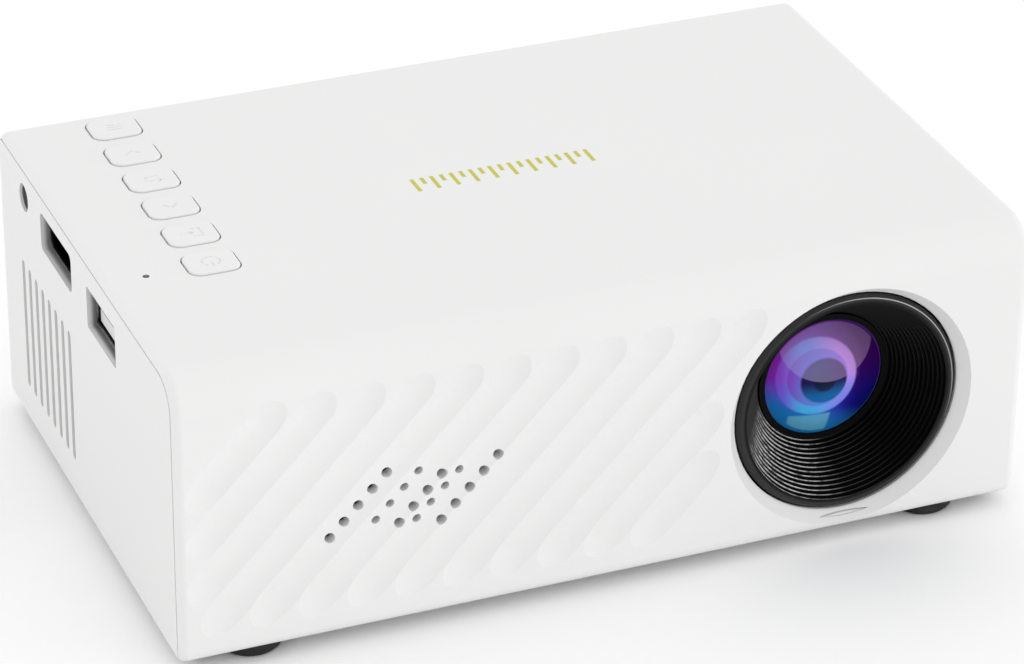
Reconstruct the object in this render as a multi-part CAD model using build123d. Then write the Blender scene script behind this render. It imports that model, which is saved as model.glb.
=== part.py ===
from build123d import *
import math
import os

os.makedirs("parts", exist_ok=True)

# Frame: X to the right, Y to the back, Z up, millimetres.
# The origin is on the surface the feet stand on, under the middle of the housing.

# Housing
width = 126.0
depth = 80.4
height = 43.6
foot_height = 2.0
wall = 2.0
front_wall = 2.4
side_radius = 1.5
brow_radius = 5.5
back_radius = 2.5
heel_radius = 1.9
lap = 1.0
seam = 0.15
back_lip = 4.0

left = -width / 2
right = width / 2
front = -depth / 2
back = depth / 2
base = foot_height
top = base + height
floor = base + wall
ceiling = top - wall
inner_left = left + wall
inner_right = right - wall
inner_front = front + front_wall
inner_back = back - wall

# Fluted front: shallow round channels side by side, running up to the right
flute_angle = 46.0
flute_pitch = 5.005
flute_radius = 5.0
flute_depth = 0.8
flute_runout = 5.0
flute_first = -65.66
flute_count = 17
flute_low = base + 4.3
flute_high = base + 38.0
flute_left = left + 1.9
flute_lens_gap = 2.2
flute_shortest = 10.0

# Speaker grille: five rows of holes along the flutes
grille_rows = (
    (-41.1, 15.2, 5, 0.75),
    (-34.5, 16.65, 4, 0.65),
    (-31.2, 15.65, 4, 0.75),
    (-28.6, 15.6, 4, 0.65),
    (-25.1, 14.8, 5, 0.75),
)
grille_step = 2.96

# Projection lens and focus hood
lens_x = 36.2
lens_z = base + 19.7
hood_radius = 16.9
hood_gap = 0.3
hood_recess = 1.5
hood_chamfer = 0.5
hood_rim = 1.0
hood_rim_depth = 2.4
hood_wall = 1.9
countersink_radius = 18.6
countersink_depth = 1.9
cone_depth = 8.0
cone_ribs = 13
throat_length = 6.6
hub_wall = 1.4
hub_length = 12.0
hub_lip = 0.9
barrel_radius = 10.0
barrel_gap = 0.15
barrel_bore = 8.4
barrel_length = 26.0
barrel_setback = 0.3
tube_fit = 0.1
tube_wall = 1.8
hub_fit = 0.1
key_rib_width = 1.4
key_rib_height = 0.45
key_rib_count = 3
key_rib_length = 2.0
key_rib_inset = 1.1
snap_groove_depth = 0.6
snap_lug_length = 1.2
snap_gap = 0.2
glass_radius = 9.45
glass_sagitta = 3.0
glass_edge = 2.6

# Keys on top
key_count = 6
key_x = -47.27
key_first_y = -10.0
key_pitch = 8.74
key_size_x = 7.3
key_size_y = 6.2
key_corner = 1.7
key_gap = 0.22
key_proud = 0.3
key_edge = 0.3
key_flange = 1.0
key_flange_height = 0.8
key_clearance = 0.2
key_travel = 0.3
key_boss_radius = 1.6

# Indicator pinhole
pinhole_x = -56.7
pinhole_y = -10.5
pinhole_radius = 0.5

# Openings in the left side
jack_y = 27.0
jack_z = base + 38.6
jack_hole_radius = 2.1
hdmi_y = 11.5
hdmi_z = base + 37.5
hdmi_open_y = 14.6
hdmi_open_z = 5.9
usb_y = -9.4
usb_z = base + 36.4
usb_open_y = 12.9
usb_open_z = 6.4
port_gap = 0.35

# Vent slots on both sides
vent_count = 8
vent_pitch = 3.19
vent_middle_y = 17.75
vent_low = base + 6.7
vent_high = base + 27.5
vent_width = 1.4

# Feet, case screws and tripod thread
foot_x = 51.0
foot_y = 34.2
foot_radius = 4.5
foot_recess = 0.4
foot_stud_radius = 1.8
foot_head_radius = 2.1
foot_head_height = 0.9
post_x = 58.0
post_y = 35.2
post_radius = 2.4
post_top_radius = 2.8
pad_height = 1.6
pad_radius = 3.2
case_screw_radius = 1.1
case_screw_head = 2.0
case_screw_length = 10.0
screw_gap = 0.05
tripod_x = 0.0
tripod_y = -12.0
tripod_radius = 3.175
tripod_length = 6.5
tripod_insert_radius = 4.0
tripod_boss_radius = 5.6

# Boards
board_thickness = 1.2
board_top = base + 33.5
board_left = inner_left + 0.2
board_right = -14.0
board_front = -30.0
board_back = inner_back - 0.6
board_bosses = ((-56.0, -26.0), (-20.0, -26.0), (-20.0, 35.6), (-35.0, 35.0))
key_board_bosses = ((-40.0, -12.0), (-40.0, 12.0), (-40.0, 35.0))
key_board_top = base + 38.6
key_board_left = -50.1
key_board_right = -38.0
key_board_front = -21.0
key_board_back = inner_back - 0.6
tab_left = -59.0
tab_back = -16.4
boss_radius = 2.0
small_boss_radius = 1.6
boss_cap = 0.8
board_screw_radius = 0.8
board_screw_head = 1.5
board_screw_length = 5.0

# Fan behind the left vents
fan_size = 30.0
fan_thickness = 10.0
fan_y = 16.9
fan_bore = 13.8
fan_hub = 7.4
fan_tip_gap = 0.5
fan_blades = 7
fan_shaft_radius = 0.75
fan_shaft_fit = 0.08
fan_strut = 1.2
fan_rib = 1.2
fan_rib_gap = 0.15
fan_rib_length = 4.0
fan_rib_height = 5.0

# Light source and optical engine
heat_sink_width = 30.0
heat_sink_fins = 9
heat_sink_fin = 1.0
heat_sink_base = 3.0
heat_sink_depth = 17.0
heat_sink_low = base + 4.0
heat_sink_high = base + 31.5
led_board = 1.6
led_size = 20.0
led_dome = 3.2
engine_rear = -30.6
engine_y = 16.9
engine_wall = 1.4
engine_half = 15.2
engine_low = base + 7.6
engine_high = base + 30.4
engine_right = 52.8
lid_thickness = 1.4
lid_boss_radius = 1.9
lid_seat = 0.5
mirror_thickness = 1.1
mirror_length = 34.0
plate_gap = 0.15

# Speaker behind the grille
speaker_x = -29.0
speaker_z = base + 19.3
speaker_radius = 13.0
speaker_ring_wall = 1.2
gasket_thickness = 0.8

# Switches, sockets and ribbon
stem_radius = 1.2
switch_size = 5.2
switch_height = 1.5
switch_floor = 0.4
indicator_y = -18.3
socket_mouth = left + 1.2
socket_rear = left + 11.1
socket_wall = 0.4
jack_bore = 1.75
jack_length = 8.7
jack_width = 8.0
ribbon_x = -17.0
ribbon_width = 14.0
ribbon_thickness = 0.3
ribbon_bend = 1.0
ribbon_socket = 1.6

# Glass and screws inside
condenser_radius = 9.6
condenser_bulge = 4.0
stop_radius = 7.0
inner_edge = 2.4
inner_bulge = 1.2
spacer_length = 6.0
flange_radius = 15.0
mount_screw_circle = 13.45
heat_sink_screw = 12.4
fan_z = floor + fan_size / 2

# Power inlet at the back
inlet_x = 50.0
inlet_z = base + 13.1
inlet_hole_radius = 3.4
inlet_bore = 3.2
inlet_pin = 1.0
power_board_z = base + 5.5
power_board_left = 41.5
power_board_right = 59.5
power_board_front = 21.0
power_board_back = inner_back - 0.3
power_board_posts = ((44.4, 24.2), (56.6, 24.2))


def block(x, y, z):
    """Box given by its limits along X, Y and Z."""
    limits = (x, y, z)
    sizes = [high - low for low, high in limits]
    middle = [(high + low) / 2 for low, high in limits]
    return Pos(*middle) * Box(*sizes)


def rod_x(radius, x, y, z):
    """Round bar along X; x holds its two ends."""
    return Pos((x[0] + x[1]) / 2, y, z) * Rot(0, 90, 0) * Cylinder(radius, x[1] - x[0])


def rod_y(radius, x, y, z):
    """Round bar along Y; y holds its two ends."""
    return Pos(x, (y[0] + y[1]) / 2, z) * Rot(90, 0, 0) * Cylinder(radius, y[1] - y[0])


def rod_z(radius, x, y, z):
    """Round bar along Z; z holds its two ends."""
    return Pos(x, y, (z[0] + z[1]) / 2) * Cylinder(radius, z[1] - z[0])


def turned_y(outline, x=lens_x, z=lens_z):
    """Turned part about a Y axis, from an outline of (radius, y) points."""
    section = make_face(Polyline(*outline, close=True))
    return Pos(x, 0, z) * revolve(section, Axis.Y)


def turned_z(outline, x, y):
    """Turned part about a Z axis, from an outline of (radius, z) points."""
    section = Plane.XZ * make_face(Polyline(*outline, close=True))
    return Pos(x, y, 0) * revolve(section, Axis.Z)


def rounded_slab(x, y, z, corner):
    """Slab with rounded vertical edges."""
    sketch = RectangleRounded(x[1] - x[0], y[1] - y[0], corner)
    place = Pos((x[0] + x[1]) / 2, (y[0] + y[1]) / 2, z[0])
    return place * extrude(sketch, z[1] - z[0])


def side_profile(y, z, brow, rear, heel):
    """Side view of the housing as a face in the YZ plane, with its own corner radii."""
    outline = Rectangle(y[1] - y[0], z[1] - z[0])
    corners = outline.vertices()
    low = [corner for corner in corners if corner.Y < 0]
    rear_high = [corner for corner in corners if corner.Y > 0 and corner.X > 0]
    if heel > 0:
        outline = fillet(low, heel)
        corners = outline.vertices()
        highest = max(corner.Y for corner in corners)
        rear_high = [c for c in corners if c.X > 0 and abs(c.Y - highest) < 0.01]
    outline = fillet(rear_high, rear)
    corners = outline.vertices()
    highest = max(corner.Y for corner in corners)
    foremost = min(corner.X for corner in corners)
    brow_corner = [c for c in corners if abs(c.Y - highest) < 0.01 and abs(c.X - foremost) < 0.01]
    outline = fillet(brow_corner, brow)
    return Pos((y[0] + y[1]) / 2, (z[0] + z[1]) / 2) * outline


def hull():
    """Outer form of the closed housing."""
    profile = side_profile((front, back), (base, top), brow_radius, back_radius, heel_radius)
    body = extrude(Plane.YZ.offset(left) * profile, width)
    ends = body.faces().sort_by(Axis.X)
    return fillet(ends[0].edges() + ends[-1].edges(), side_radius)


def cavity():
    """Space inside the housing's walls."""
    inner_brow = brow_radius - wall
    inner_rear = back_radius - wall + 0.5
    profile = side_profile((inner_front, inner_back), (floor, ceiling), inner_brow, inner_rear, 0)
    return extrude(Plane.YZ.offset(inner_left) * profile, inner_right - inner_left)


def lower_region(gap=0.0):
    """Space that the lower shell's walls take up: two sides, the floor and the back lip."""
    y = (front + lap - gap, back - lap + gap)
    z = (base - wall, top - lap + gap)
    inset = lap - gap
    profile = side_profile(y, z, brow_radius - inset, back_radius - inset, 0)
    left_side = extrude(Plane.YZ.offset(left - 1) * profile, wall + 1 + gap)
    right_side = extrude(Plane.YZ.offset(inner_right - gap) * profile, wall + 1 + gap)
    bottom = block((left - 1, right + 1), y, (base - 1, floor + gap))
    lip_x = (left + inset, right - inset)
    lip = block(lip_x, (inner_back - gap, back + 1), (base - 1, base + back_lip + gap))
    return left_side + right_side + bottom + lip


def flute_span(offset):
    """Ends of one flute along its own direction, or None where it would be too short."""
    along_x = math.cos(math.radians(flute_angle))
    along_z = math.sin(math.radians(flute_angle))
    start_x = offset * along_z
    start_z = base - offset * along_x
    low = max((flute_low - start_z) / along_z, (flute_left - start_x) / along_x)
    high = (flute_high - start_z) / along_z
    clear_radius = countersink_radius + flute_lens_gap
    to_lens = (lens_x - start_x) * along_x + (lens_z - start_z) * along_z
    aside = abs((lens_x - start_x) * along_z - (lens_z - start_z) * along_x)
    if aside < clear_radius:
        high = min(high, to_lens - math.sqrt(clear_radius ** 2 - aside ** 2))
    if high - low < flute_shortest:
        return None
    return start_x, start_z, low, high


def flute(start_x, start_z, low, high):
    """Round cutter along one flute, which rises out of the face at both ends."""
    run = min(flute_runout, (high - low) * 0.4)
    lift = flute_radius - flute_depth
    bend = (run ** 2 + flute_depth ** 2) / (2 * flute_depth) - flute_radius
    sweep_angle = math.degrees(math.asin(run / (bend + flute_radius))) * 1.25
    angle = math.radians(flute_angle)
    direction = Vector(math.cos(angle), 0, math.sin(angle))
    plane = Plane(origin=(start_x, front, start_z), x_dir=direction, z_dir=direction.cross(Vector(0, -1, 0)))
    straight = Line((low + run, lift), (high - run, lift))
    rear = JernArc((low + run, lift), (-1, 0), bend, -sweep_angle)
    fore = JernArc((high - run, lift), (1, 0), bend, sweep_angle)
    path = plane * Wire([rear, straight, fore])
    return sweep((path ^ 0) * Circle(flute_radius), path=path)


def flutes():
    """All the flutes' cutters."""
    cutters = []
    for number in range(flute_count):
        span = flute_span(flute_first + flute_pitch * number)
        if span:
            cutters.append(flute(*span))
    return cutters


def lens_opening():
    """Countersink and bore for the lens hood, through the front wall."""
    bore = hood_radius + hood_gap
    seat = front + countersink_depth
    outline = [(0, front - 1), (countersink_radius, front - 1), (countersink_radius, front)]
    outline += [(bore, seat), (bore, inner_front + 1), (0, inner_front + 1)]
    return turned_y(outline)


def grille_holes():
    """Speaker holes, in rows along the flutes."""
    angle = math.radians(flute_angle)
    step_x = grille_step * math.cos(angle)
    step_z = grille_step * math.sin(angle)
    holes = []
    for first_x, first_z, count, radius in grille_rows:
        for number in range(count):
            x = first_x + number * step_x
            z = base + first_z + number * step_z
            holes.append(rod_y(radius, x, (front - 1, inner_front + 0.5), z))
    return holes


def key_places():
    """Middles of the keys, from the front one to the back one."""
    return [key_first_y + number * key_pitch for number in range(key_count)]


def key_openings():
    """Windows for the keys in the top."""
    openings = []
    half_x = key_size_x / 2 + key_gap
    half_y = key_size_y / 2 + key_gap
    for y in key_places():
        x_limits = (key_x - half_x, key_x + half_x)
        y_limits = (y - half_y, y + half_y)
        openings.append(rounded_slab(x_limits, y_limits, (ceiling - 1, top + 1), key_corner + key_gap))
    return openings


def corner_places(x, y):
    """Four places mirrored about the middle of the housing."""
    return [(side * x, end * y) for side in (-1, 1) for end in (-1, 1)]


def boss(radius, place, low, high, hole):
    """Screw boss that hangs from the ceiling, with a blind pilot hole from below."""
    x, y = place
    solid = rod_z(radius, x, y, (low, high))
    return solid - rod_z(hole, x, y, (low - 1, high - boss_cap))


def upper_shell():
    """Top, fluted front and back in one moulding."""
    shell = hull()
    for cutter in flutes():
        shell -= cutter
    shell -= cavity()
    shell -= lower_region(seam)
    ring_radius = speaker_radius + hood_gap
    ring_depth = (inner_front - 0.2, inner_front + gasket_thickness + 2.2)
    shell += rod_y(ring_radius + speaker_ring_wall, speaker_x, ring_depth, speaker_z)
    shell -= rod_y(ring_radius, speaker_x, (inner_front, inner_front + 10), speaker_z)
    post_low = floor + pad_height
    hole_top = base + pad_height + case_screw_length + 1
    for x, y in corner_places(post_x, post_y):
        outline = [(0, post_low), (post_radius, post_low), (post_top_radius, ceiling + 0.2), (0, ceiling + 0.2)]
        shell += turned_z(outline, x, y)
        shell -= rod_z(case_screw_radius + screw_gap, x, y, (post_low - 1, hole_top))
    pilot = board_screw_radius + screw_gap
    for place in board_bosses:
        shell += boss(boss_radius, place, board_top, ceiling + 0.2, pilot)
    for place in key_board_bosses:
        shell += boss(small_boss_radius, place, key_board_top, ceiling + 0.2, pilot)
    for cutter in grille_holes():
        shell -= cutter
    for cutter in key_openings():
        shell -= cutter
    shell -= lens_opening()
    shell -= rod_z(pinhole_radius, pinhole_x, pinhole_y, (ceiling - 1, top + 1))
    shell -= rod_y(inlet_hole_radius, inlet_x, (inner_back - 1, back + 1), inlet_z)
    return shell


def vents(x):
    """Row of upright slots through the side wall whose middle is at x."""
    slots = []
    first = vent_middle_y - vent_pitch * (vent_count - 1) / 2
    for number in range(vent_count):
        slot = SlotOverall(vent_high - vent_low, vent_width, rotation=90)
        cutter = extrude(Plane.YZ * slot, wall, both=True)
        slots.append(Pos(x, first + number * vent_pitch, (vent_low + vent_high) / 2) * cutter)
    return slots


def port_opening(y, z, size_y, size_z, corner):
    """Rounded window through the left wall."""
    sketch = RectangleRounded(size_y, size_z, corner)
    cutter = extrude(Plane.YZ * sketch, wall, both=True)
    return Pos(left + wall / 2, y, z) * cutter


def lower_shell():
    """Left side, bottom and right side in one moulding."""
    shell = hull() & lower_region()
    shell -= cavity()
    inside = block((left + lap, right - lap), (inner_front + seam, back - lap), (base, top))
    for x, y in corner_places(post_x, post_y):
        shell += inside & rod_z(pad_radius, x, y, (floor - 0.2, floor + pad_height))
        shell -= rod_z(case_screw_head + 0.2, x, y, (base - 1, base + pad_height))
        shell -= rod_z(case_screw_radius + 0.15, x, y, (base, floor + pad_height + 1))
    for x, y in corner_places(foot_x, foot_y):
        shell -= rod_z(foot_radius + 0.1, x, y, (base - 1, base + foot_recess))
        shell -= rod_z(foot_stud_radius + 0.05, x, y, (base, floor + 1))
    tripod_top = base + tripod_length
    shell += rod_z(tripod_boss_radius, tripod_x, tripod_y, (floor - 0.2, tripod_top + 1.6))
    shell -= rod_z(tripod_insert_radius + 0.02, tripod_x, tripod_y, (base - 1, tripod_top + 0.1))
    for place in engine_posts():
        shell += floor_post(place, engine_low)
    for place in power_board_posts:
        shell += floor_post(place, power_board_z)
    rib_x = inner_left + fan_thickness + fan_rib_gap
    for side in (-1, 1):
        rib_y = fan_y + side * (fan_size / 2 - fan_rib_length / 2)
        limits_y = (rib_y - fan_rib_length / 2, rib_y + fan_rib_length / 2)
        shell += block((rib_x, rib_x + fan_rib), limits_y, (floor - 0.2, floor + fan_rib_height))
    for cutter in vents(left + wall / 2) + vents(right - wall / 2):
        shell -= cutter
    shell -= rod_x(jack_hole_radius, (left - 1, inner_left + 1), jack_y, jack_z)
    shell -= port_opening(hdmi_y, hdmi_z, hdmi_open_y, hdmi_open_z, 1.0)
    shell -= port_opening(usb_y, usb_z, usb_open_y, usb_open_z, 0.5)
    shell -= lens_opening()
    return shell


def engine_posts():
    """Places of the posts under the optical engine."""
    aside = engine_half - 3.8
    return [(x, engine_y + y) for x in (-16.0, 16.0) for y in (-aside, aside)]


def floor_post(place, high):
    """Post on the floor with a blind pilot hole from above."""
    x, y = place
    solid = rod_z(boss_radius, x, y, (floor - 0.2, high))
    return solid - rod_z(board_screw_radius + screw_gap, x, y, (floor + 0.4, high + 1))


def key(y):
    """Key cap with its retaining flange and the boss that presses the switch."""
    x_limits = (key_x - key_size_x / 2, key_x + key_size_x / 2)
    y_limits = (y - key_size_y / 2, y + key_size_y / 2)
    flange_top = ceiling - key_clearance
    flange_low = flange_top - key_flange_height
    cap = rounded_slab(x_limits, y_limits, (flange_low, top + key_proud), key_corner)
    rim = cap.faces().sort_by(Axis.Z)[-1].edges()
    cap = fillet(rim, key_edge)
    wide_x = (x_limits[0] - key_flange, x_limits[1] + key_flange)
    wide_y = (y_limits[0] - key_flange, y_limits[1] + key_flange)
    cap += rounded_slab(wide_x, wide_y, (flange_low, flange_top), key_corner)
    return cap + rod_z(key_boss_radius, key_x, y, (stem_top(), flange_low + 0.2))


def stem_top():
    """Height where a key's boss rests on its switch stem."""
    return ceiling - key_clearance - key_flange_height - 0.1


def stem_low():
    """Height of a stem's lower end at rest, clear of its switch's floor over the travel."""
    return key_board_top + switch_floor + key_travel + 0.1


def switch_stem(y):
    """Stem of one switch, which the key pushes down."""
    return rod_z(stem_radius, key_x, y, (stem_low(), stem_top()))


def switch_bodies():
    """Bodies of the six switches on the key board."""
    half = switch_size / 2
    solids = []
    for y in key_places():
        z = (key_board_top, key_board_top + switch_height)
        body = block((key_x - half, key_x + half), (y - half, y + half), z)
        body -= rod_z(stem_radius + 0.1, key_x, y, (z[0] + switch_floor, z[1] + 1))
        solids.append(body)
    return Compound(children=solids)


def key_board():
    """Narrow board under the keys, with a tab for the indicator."""
    z = (key_board_top - board_thickness, key_board_top)
    board = block((key_board_left, key_board_right), (key_board_front, key_board_back), z)
    board += block((tab_left, key_board_left + 1), (key_board_front, tab_back), z)
    for x, y in key_board_bosses:
        board -= rod_z(board_screw_radius + 0.1, x, y, (z[0] - 1, z[1] + 1))
    return board


def main_board():
    """Board that carries the sockets and chips, notched round a case post."""
    z = (board_top - board_thickness, board_top)
    board = block((board_left, board_right), (board_front, board_back), z)
    notch = post_top_radius + 0.4
    board -= block((board_left - 1, notch - post_x), (post_y - notch, board_back + 1), (z[0] - 1, z[1] + 1))
    for x, y in board_bosses:
        board -= rod_z(board_screw_radius + 0.1, x, y, (z[0] - 1, z[1] + 1))
    return board


def chip(x, y, size_x, size_y, rise, low=board_top):
    """Square-edged component on a board."""
    return block((x - size_x / 2, x + size_x / 2), (y - size_y / 2, y + size_y / 2), (low, low + rise))


def board_chips():
    """Components on the main board, and the indicator chip on the key board."""
    processor = chip(-28, 4, 14, 14, 1.4)
    memory = chip(-28, 22, 9, 12, 1.1)
    flat_socket = chip(ribbon_x, engine_y, 3, ribbon_width + 2, ribbon_socket)
    coil = chip(-22, -9, 6, 6, 3)
    capacitors = [rod_z(2.5, x, -17, (board_top, board_top + 5.4)) for x in (-30, -24)]
    indicator = chip(pinhole_x, indicator_y, 1.6, 0.8, 0.8, key_board_top)
    return Compound(children=[processor, memory, flat_socket, coil, indicator] + capacitors)


def light_guide():
    """Clear guide from the indicator chip, along a bar and up into the pinhole."""
    low = key_board_top + 1.3
    bar = block((pinhole_x - 0.6, pinhole_x + 0.6), (indicator_y - 0.6, pinhole_y + 0.6), (low, low + 1))
    bar += rod_z(pinhole_radius - 0.05, pinhole_x, pinhole_y, (low + 0.5, top - 0.1))
    foot_z = (key_board_top + 1.0, low + 0.5)
    return bar + block((pinhole_x - 0.6, pinhole_x + 0.6), (indicator_y - 0.6, indicator_y + 0.6), foot_z)


def socket_tube(y, z, size_y, size_z, chamfered):
    """Open metal tube of a socket, from its mouth inwards."""
    outer = Rectangle(size_y, size_z)
    if chamfered:
        low = [corner for corner in outer.vertices() if corner.Y < 0]
        outer = chamfer(low, 1.2)
    inner = offset(outer, -socket_wall)
    tube = extrude(Plane.YZ * (outer - inner), socket_rear - socket_mouth)
    return Pos(socket_mouth, y, z) * tube


def hdmi_shell_size():
    """Outer width and height of the HDMI socket's tube."""
    return hdmi_open_y - 2 * port_gap, hdmi_open_z - 2 * port_gap


def usb_shell_size():
    """Outer width and height of the USB socket's tube."""
    return usb_open_y - 2 * port_gap, usb_open_z - 2 * port_gap


def hdmi_insert():
    """Plastic body of the HDMI socket: rear block, contact tongue and base."""
    size_y, size_z = hdmi_shell_size()
    low = hdmi_z - size_z / 2
    y = (hdmi_y - size_y / 2 + 1, hdmi_y + size_y / 2 - 1)
    insert = block((socket_rear, socket_rear + 1.5), y, (board_top, hdmi_z + size_z / 2 - 0.8))
    insert += block((inner_left + 0.4, socket_rear + 0.5), y, (board_top, low))
    tongue_y = (hdmi_y - 5.2, hdmi_y + 5.2)
    return insert + block((socket_mouth + 1.5, socket_rear + 0.5), tongue_y, (hdmi_z - 0.1, hdmi_z + 1.0))


def usb_insert():
    """Plastic body of the USB socket: rear block and contact tongue."""
    size_y, size_z = usb_shell_size()
    y = (usb_y - size_y / 2 + 0.6, usb_y + size_y / 2 - 0.6)
    insert = block((socket_rear, socket_rear + 1.5), y, (board_top, usb_z + size_z / 2))
    tongue_z = (usb_z - 2.0, usb_z - 0.1)
    return insert + block((socket_mouth + 0.4, socket_rear + 0.5), (y[0] + 0.3, y[1] - 0.3), tongue_z)


def av_jack():
    """Round audio and video jack on the main board, its nose in the side wall."""
    rear = inner_left + jack_length
    half = jack_width / 2
    body = block((inner_left + 0.1, rear), (jack_y - half, jack_y + half), (board_top, jack_z + 2.6))
    body += rod_x(jack_hole_radius - 0.1, (left + 0.4, inner_left + 1), jack_y, jack_z)
    return body - rod_x(jack_bore, (left, rear - 1), jack_y, jack_z)


def power_board():
    """Small board at the back that carries the power inlet."""
    z = (power_board_z, power_board_z + board_thickness)
    board = block((power_board_left, power_board_right), (power_board_front, power_board_back), z)
    notch = post_top_radius + 0.4
    notch_x = (post_x - notch, power_board_right + 1)
    board -= block(notch_x, (post_y - notch, power_board_back + 1), (z[0] - 1, z[1] + 1))
    for x, y in power_board_posts:
        board -= rod_z(board_screw_radius + 0.1, x, y, (z[0] - 1, z[1] + 1))
    return board


def power_inlet():
    """Barrel inlet behind the hole in the back."""
    low = power_board_z + board_thickness
    y = (inner_back - 11, inner_back - 0.1)
    body = block((inlet_x - 4.5, inlet_x + 4.5), y, (low, inlet_z + 4.6))
    return body - rod_y(inlet_bore, inlet_x, (y[0] + 1.5, y[1] + 1), inlet_z)


def inlet_contact():
    """Centre pin of the power inlet."""
    return rod_y(inlet_pin, inlet_x, (inner_back - 9.5, inner_back - 1), inlet_z)


def speaker_gasket():
    """Foam ring between the speaker and the front wall."""
    y = (inner_front, inner_front + gasket_thickness)
    ring = rod_y(speaker_radius, speaker_x, y, speaker_z)
    return ring - rod_y(speaker_radius - 1.4, speaker_x, (y[0] - 1, y[1] + 1), speaker_z)


def speaker_basket():
    """Pressed basket of the speaker, from its flange back to the magnet."""
    y = inner_front + gasket_thickness
    outline = [(speaker_radius, y), (speaker_radius, y + 0.8), (11.8, y + 0.8), (8.8, y + 5.0), (5.5, y + 5.0)]
    outline += [(5.5, y + 4.4), (8.4, y + 4.4), (11.4, y + 0.4), (11.4, y)]
    return turned_y(outline, speaker_x, speaker_z)


def speaker_cone():
    """Paper cone and dust cap."""
    y = inner_front + gasket_thickness
    outline = [(0, y + 2.0), (2.6, y + 2.6), (10.6, y + 0.1), (11.35, y + 0.1), (11.35, y + 0.4)]
    outline += [(10.7, y + 0.4), (2.9, y + 2.9), (2.9, y + 6.4), (2.5, y + 6.4), (2.5, y + 2.9), (0, y + 2.4)]
    return turned_y(outline, speaker_x, speaker_z)


def speaker_magnet():
    """Magnet pot behind the basket, with its gap for the voice coil."""
    y = inner_front + gasket_thickness + 5.0
    outline = [(0, y - 1), (2.1, y - 1), (2.1, y + 2.4), (3.3, y + 2.4), (3.3, y), (8.0, y), (8.0, y + 4), (0, y + 4)]
    return turned_y(outline, speaker_x, speaker_z)


def fan_frame():
    """Square fan frame with three struts and a bearing boss."""
    x = (inner_left, inner_left + fan_thickness)
    z = (fan_z - fan_size / 2, fan_z + fan_size / 2)
    frame = block(x, (fan_y - fan_size / 2, fan_y + fan_size / 2), z)
    uprights = [edge for edge in frame.edges().filter_by(Axis.X)]
    frame = fillet(uprights, 1.5)
    frame -= rod_x(fan_bore, (x[0] - 1, x[1] + 1), fan_y, fan_z)
    for y, rise in corner_places(fan_size / 2 - 3, fan_size / 2 - 3):
        frame -= rod_x(1.5, (x[0] - 1, x[1] + 1), fan_y + y, fan_z + rise)
    strut_x = (x[1] - fan_strut, x[1])
    for number in range(3):
        strut = block(strut_x, (-1, 1), (2, fan_bore + 0.5))
        frame += Pos(0, fan_y, fan_z) * Rot(120 * number, 0, 0) * strut
    frame += rod_x(fan_hub, strut_x, fan_y, fan_z)
    frame += rod_x(2.0, (x[1] - 5, x[1]), fan_y, fan_z)
    return frame - rod_x(fan_shaft_radius + fan_shaft_fit, (x[1] - 6, x[1] - 0.4), fan_y, fan_z)


def fan_rotor():
    """Fan hub with its shaft and twisted blades."""
    hub_x = (inner_left + 0.6, inner_left + fan_thickness - 2)
    rotor = rod_x(fan_hub - 0.4, hub_x, 0, 0)
    rotor -= rod_x(fan_hub - 1.4, (hub_x[0] + 1, hub_x[1] + 1), 0, 0)
    rotor += rod_x(fan_shaft_radius, (hub_x[0] + 0.5, inner_left + fan_thickness - 0.8), 0, 0)
    middle = (hub_x[0] + hub_x[1]) / 2
    root = Plane(origin=(middle, 0, fan_hub - 0.9), x_dir=(0, 1, 0), z_dir=(0, 0, 1))
    tip = Plane(origin=(middle, 0, fan_bore + 0.3), x_dir=(0, 1, 0), z_dir=(0, 0, 1))
    blade = loft([root * (Rot(0, 0, 50) * Rectangle(7, 0.9)), tip * (Rot(0, 0, 32) * Rectangle(8.5, 0.6))])
    for number in range(fan_blades):
        rotor += Rot(360 / fan_blades * number, 0, 0) * blade
    swept = rod_x(fan_bore - fan_tip_gap, (inner_left, inner_left + fan_thickness), 0, 0)
    return Pos(0, fan_y, fan_z) * (rotor & swept)


def heat_sink():
    """Extruded heat sink: base plate and upright fins."""
    x_base = engine_rear - led_board
    half = heat_sink_width / 2
    z = (heat_sink_low, heat_sink_high)
    sink = block((x_base - heat_sink_base, x_base), (engine_y - half, engine_y + half), z)
    pitch = (heat_sink_width - heat_sink_fin) / (heat_sink_fins - 1)
    for number in range(heat_sink_fins):
        y = engine_y - half + number * pitch
        sink += block((x_base - heat_sink_depth, x_base), (y, y + heat_sink_fin), z)
    for side in (-1, 1):
        y = engine_y + side * heat_sink_screw
        sink -= rod_x(board_screw_radius + 0.1, (x_base - heat_sink_base - 1, x_base + 1), y, lens_z)
        sink -= rod_x(board_screw_head + 0.4, (x_base - heat_sink_depth - 1, x_base - heat_sink_base), y, lens_z)
    return sink


def led_module():
    """Light source: metal-core board with a clear dome."""
    half = led_size / 2
    x = (engine_rear - led_board, engine_rear)
    module = block(x, (engine_y - half, engine_y + half), (lens_z - half, lens_z + half))
    return module + Pos(engine_rear, engine_y, lens_z) * Rot(0, 90, 0) * Sphere(led_dome, 0)


def engine_outline(inset):
    """Plan view of the optical engine: a straight box with a slanted mirror end."""
    near = engine_y - engine_half - engine_wall + inset
    far = engine_y + engine_half + engine_wall - inset
    slant = lens_x + engine_y + (mirror_thickness + engine_wall - inset) * math.sqrt(2)
    east = engine_right - inset
    west = engine_rear + inset
    points = [(west, near), (east, near), (east, slant - east), (slant - far, far), (west, far)]
    return make_face(Polyline(*points, close=True))


def optic_slots():
    """Middles and thicknesses of the plates that stand in the engine's slots."""
    return {"holder": (-22.0, 2.0), "rear": (-8.0, 2.0), "panel": (0.0, 2.6), "fore": (8.0, 2.0)}


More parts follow.
